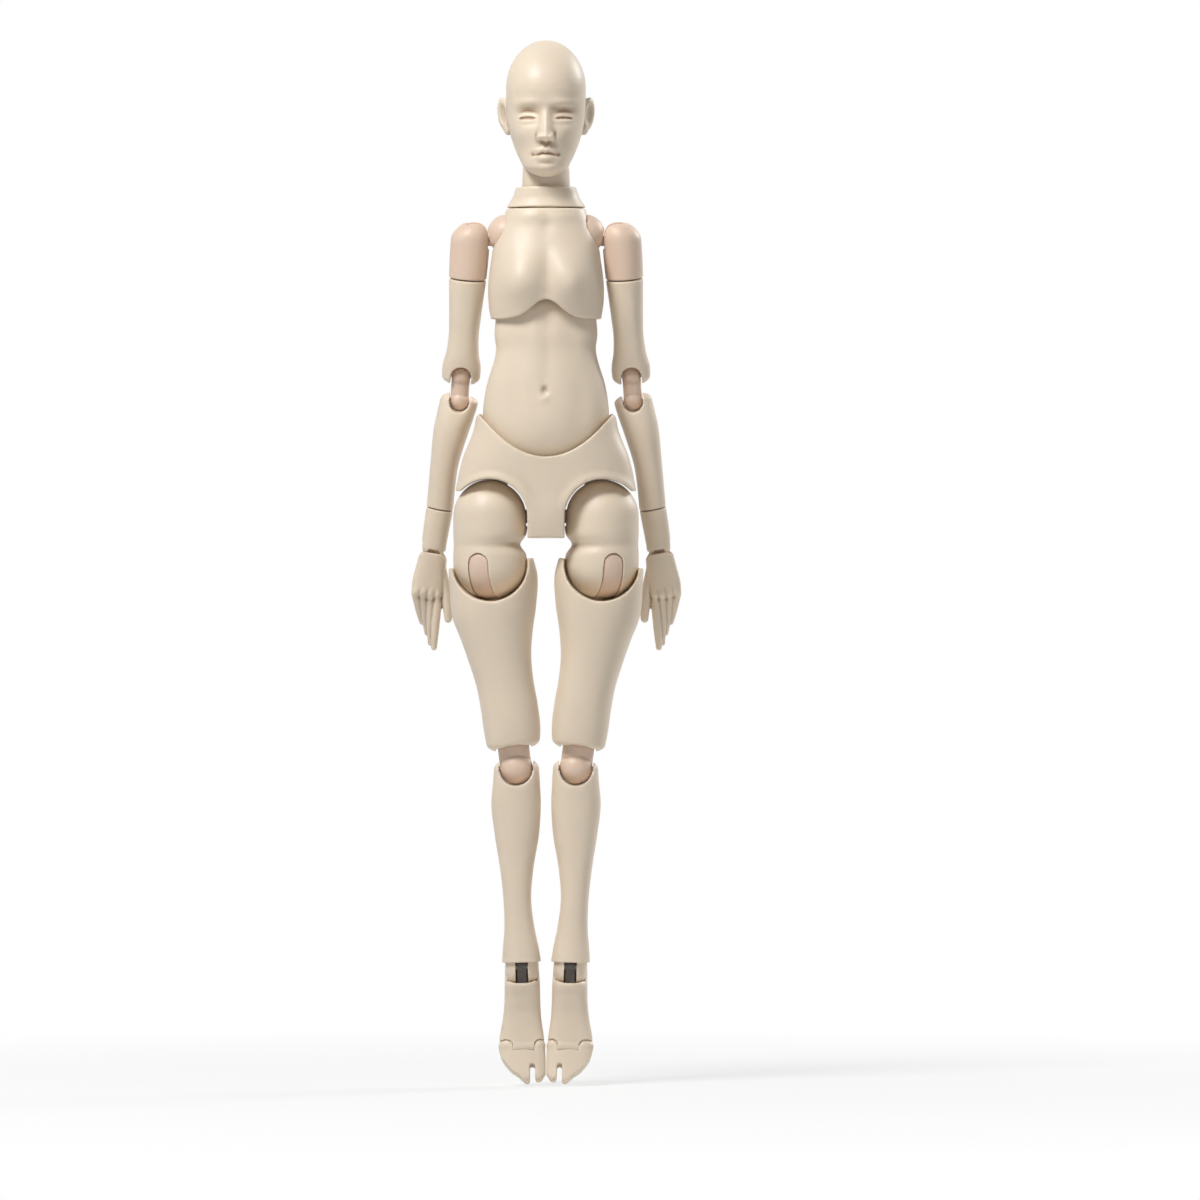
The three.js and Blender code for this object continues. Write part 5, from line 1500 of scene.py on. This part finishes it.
class FIGURE_OT_stage(bpy.types.Operator):
    """Stage: a pale floor under the toes, white surroundings, soft lamps and the photograph's camera."""

    bl_idname = "figure.stage"
    bl_label = "Studio"

    def execute(self, context):
        scene = context.scene
        scene.view_settings.view_transform = "Standard"
        floor_gap = 0.0005
        self.floor(CAD_BOX[0].z - floor_gap)
        self.surroundings(scene)
        self.lamp("key", (-0.38, -0.5, 0.75), 0.3, 8)
        self.lamp("fill", (1.4, -1.6, 0.1), 1.2, 2.5)
        self.lamp("rim", (1.1, 0.8, 0.7), 0.5, 11)
        camera = bpy.data.cameras.new("camera")
        camera.sensor_width = 36
        camera.lens = camera.sensor_width * CAMERA_DISTANCE / (PHOTO_SIDE * PHOTO_SCALE)
        camera.clip_end = 100
        holder = bpy.data.objects.new("camera", camera)
        right, down = (PHOTO_SCALE * (PHOTO_SIDE / 2 - pixel) for pixel in PHOTO_ORIGIN)
        holder.location = (right, -CAMERA_DISTANCE, -down)
        holder.rotation_euler = (math.pi / 2, 0, 0)
        scene.collection.objects.link(holder)
        scene.camera = holder
        return {"FINISHED"}

    @staticmethod
    def lamp(name, spot, size, power):
        """A square soft lamp that faces the middle of the figure."""
        light = bpy.data.lights.new(name, "AREA")
        light.size = size
        light.energy = power
        holder = bpy.data.objects.new(name, light)
        back = Matrix.Translation(spot)
        holder.matrix_world = back @ back.translation.to_track_quat("Z", "Y").to_matrix().to_4x4()
        bpy.context.scene.collection.objects.link(holder)

    @staticmethod
    def floor(low):
        """A wide disc: pale under the figure, where it takes the shadow, and lit white further off."""
        mesh = bpy.data.meshes.new("floor")
        around = circle(64)
        radius = 8.0
        ring = grid(radius * np.cos(around), radius * np.sin(around), low)
        mesh.from_pydata(ring.tolist(), [], [list(range(len(ring)))])
        made = bpy.data.materials.new("floor")
        made.use_nodes = True
        tree = made.node_tree
        tree.nodes.remove(tree.nodes["Principled BSDF"])
        start = Wire(tree)
        spot = start.node("ShaderNodeTexCoord", {}, output="Object")
        away = spot.node("ShaderNodeVectorMath", {0: spot}, {"operation": "LENGTH"}, output="Value")
        specks = spot.node("ShaderNodeTexNoise", {"Vector": spot, "Scale": 30.0})
        pale = specks.tint((0.86, 0.86, 0.86, 1), (0.9, 0.9, 0.9, 1))
        matt = spot.node("ShaderNodeBsdfDiffuse", {"Color": pale})
        white = spot.node("ShaderNodeEmission", {"Color": (1, 1, 1, 1), "Strength": 1.0})
        far = ((away * 4.0 - 0.7).clamped() * 0.28 + 0.72) * seen_rays(start)
        mixed = spot.node("ShaderNodeMixShader", {0: far, 1: matt, 2: white})
        tree.links.new(mixed.socket, tree.nodes["Material Output"].inputs["Surface"])
        mesh.materials.append(made)
        disc = bpy.data.objects.new("floor", mesh)
        bpy.context.scene.collection.objects.link(disc)

    @staticmethod
    def surroundings(scene):
        """White to the camera, in mirrors and through glass; an even soft light to everything else."""
        world = bpy.data.worlds.new("studio")
        world.use_nodes = True
        scene.world = world
        tree = world.node_tree
        tree.nodes.clear()
        start = Wire(tree)
        seen = seen_rays(start)
        soft = start.node("ShaderNodeBackground", {"Color": (1, 1, 1, 1), "Strength": 0.13})
        white = start.node("ShaderNodeBackground", {"Color": (1, 1, 1, 1), "Strength": 1.0})
        mixed = start.node("ShaderNodeMixShader", {0: seen, 1: soft, 2: white})
        start.node("ShaderNodeOutputWorld", {"Surface": mixed})


STEPS = (
    FIGURE_OT_head,
    FIGURE_OT_neck,
    FIGURE_OT_chest,
    FIGURE_OT_abdomen,
    FIGURE_OT_pelvis,
    FIGURE_OT_shoulders,
    FIGURE_OT_arms,
    FIGURE_OT_hands,
    FIGURE_OT_hips,
    FIGURE_OT_legs,
    FIGURE_OT_feet,
    FIGURE_OT_stage,
)


class FIGURE_PT_panel(bpy.types.Panel):
    """The steps of the build, in order, and all sizes and colours."""

    bl_idname = "FIGURE_PT_panel"
    bl_label = "Action figure body"
    bl_space_type = "VIEW_3D"
    bl_region_type = "UI"
    bl_category = "Figure"

    def draw(self, context):
        for step in STEPS:
            self.layout.operator(step.bl_idname)
        figure = context.scene.figure
        for part in ("head", "torso", "arm", "leg", "finish"):
            box = self.layout.box()
            box.label(text=part.capitalize())
            group = getattr(figure, part)
            for name in group.__annotations__:
                box.prop(group, name)


GROUPS = (FigureHead, FigureTorso, FigureArm, FigureLeg, FigureFinish, FigureSettings)
CLASSES = (*GROUPS, *STEPS, FIGURE_PT_panel)


def register():
    """Makes the settings, the steps and the panel known to Blender."""
    for made in CLASSES:
        bpy.utils.register_class(made)
    bpy.types.Scene.figure = bpy.props.PointerProperty(type=FigureSettings)


def unregister():
    """Takes them away again, last first."""
    del bpy.types.Scene.figure
    for made in reversed(CLASSES):
        bpy.utils.unregister_class(made)


def main():
    """Runs the steps in order."""
    register()
    for step in STEPS:
        family, name = step.bl_idname.split(".")
        getattr(getattr(bpy.ops, family), name)()


if __name__ == "__main__":
    main()
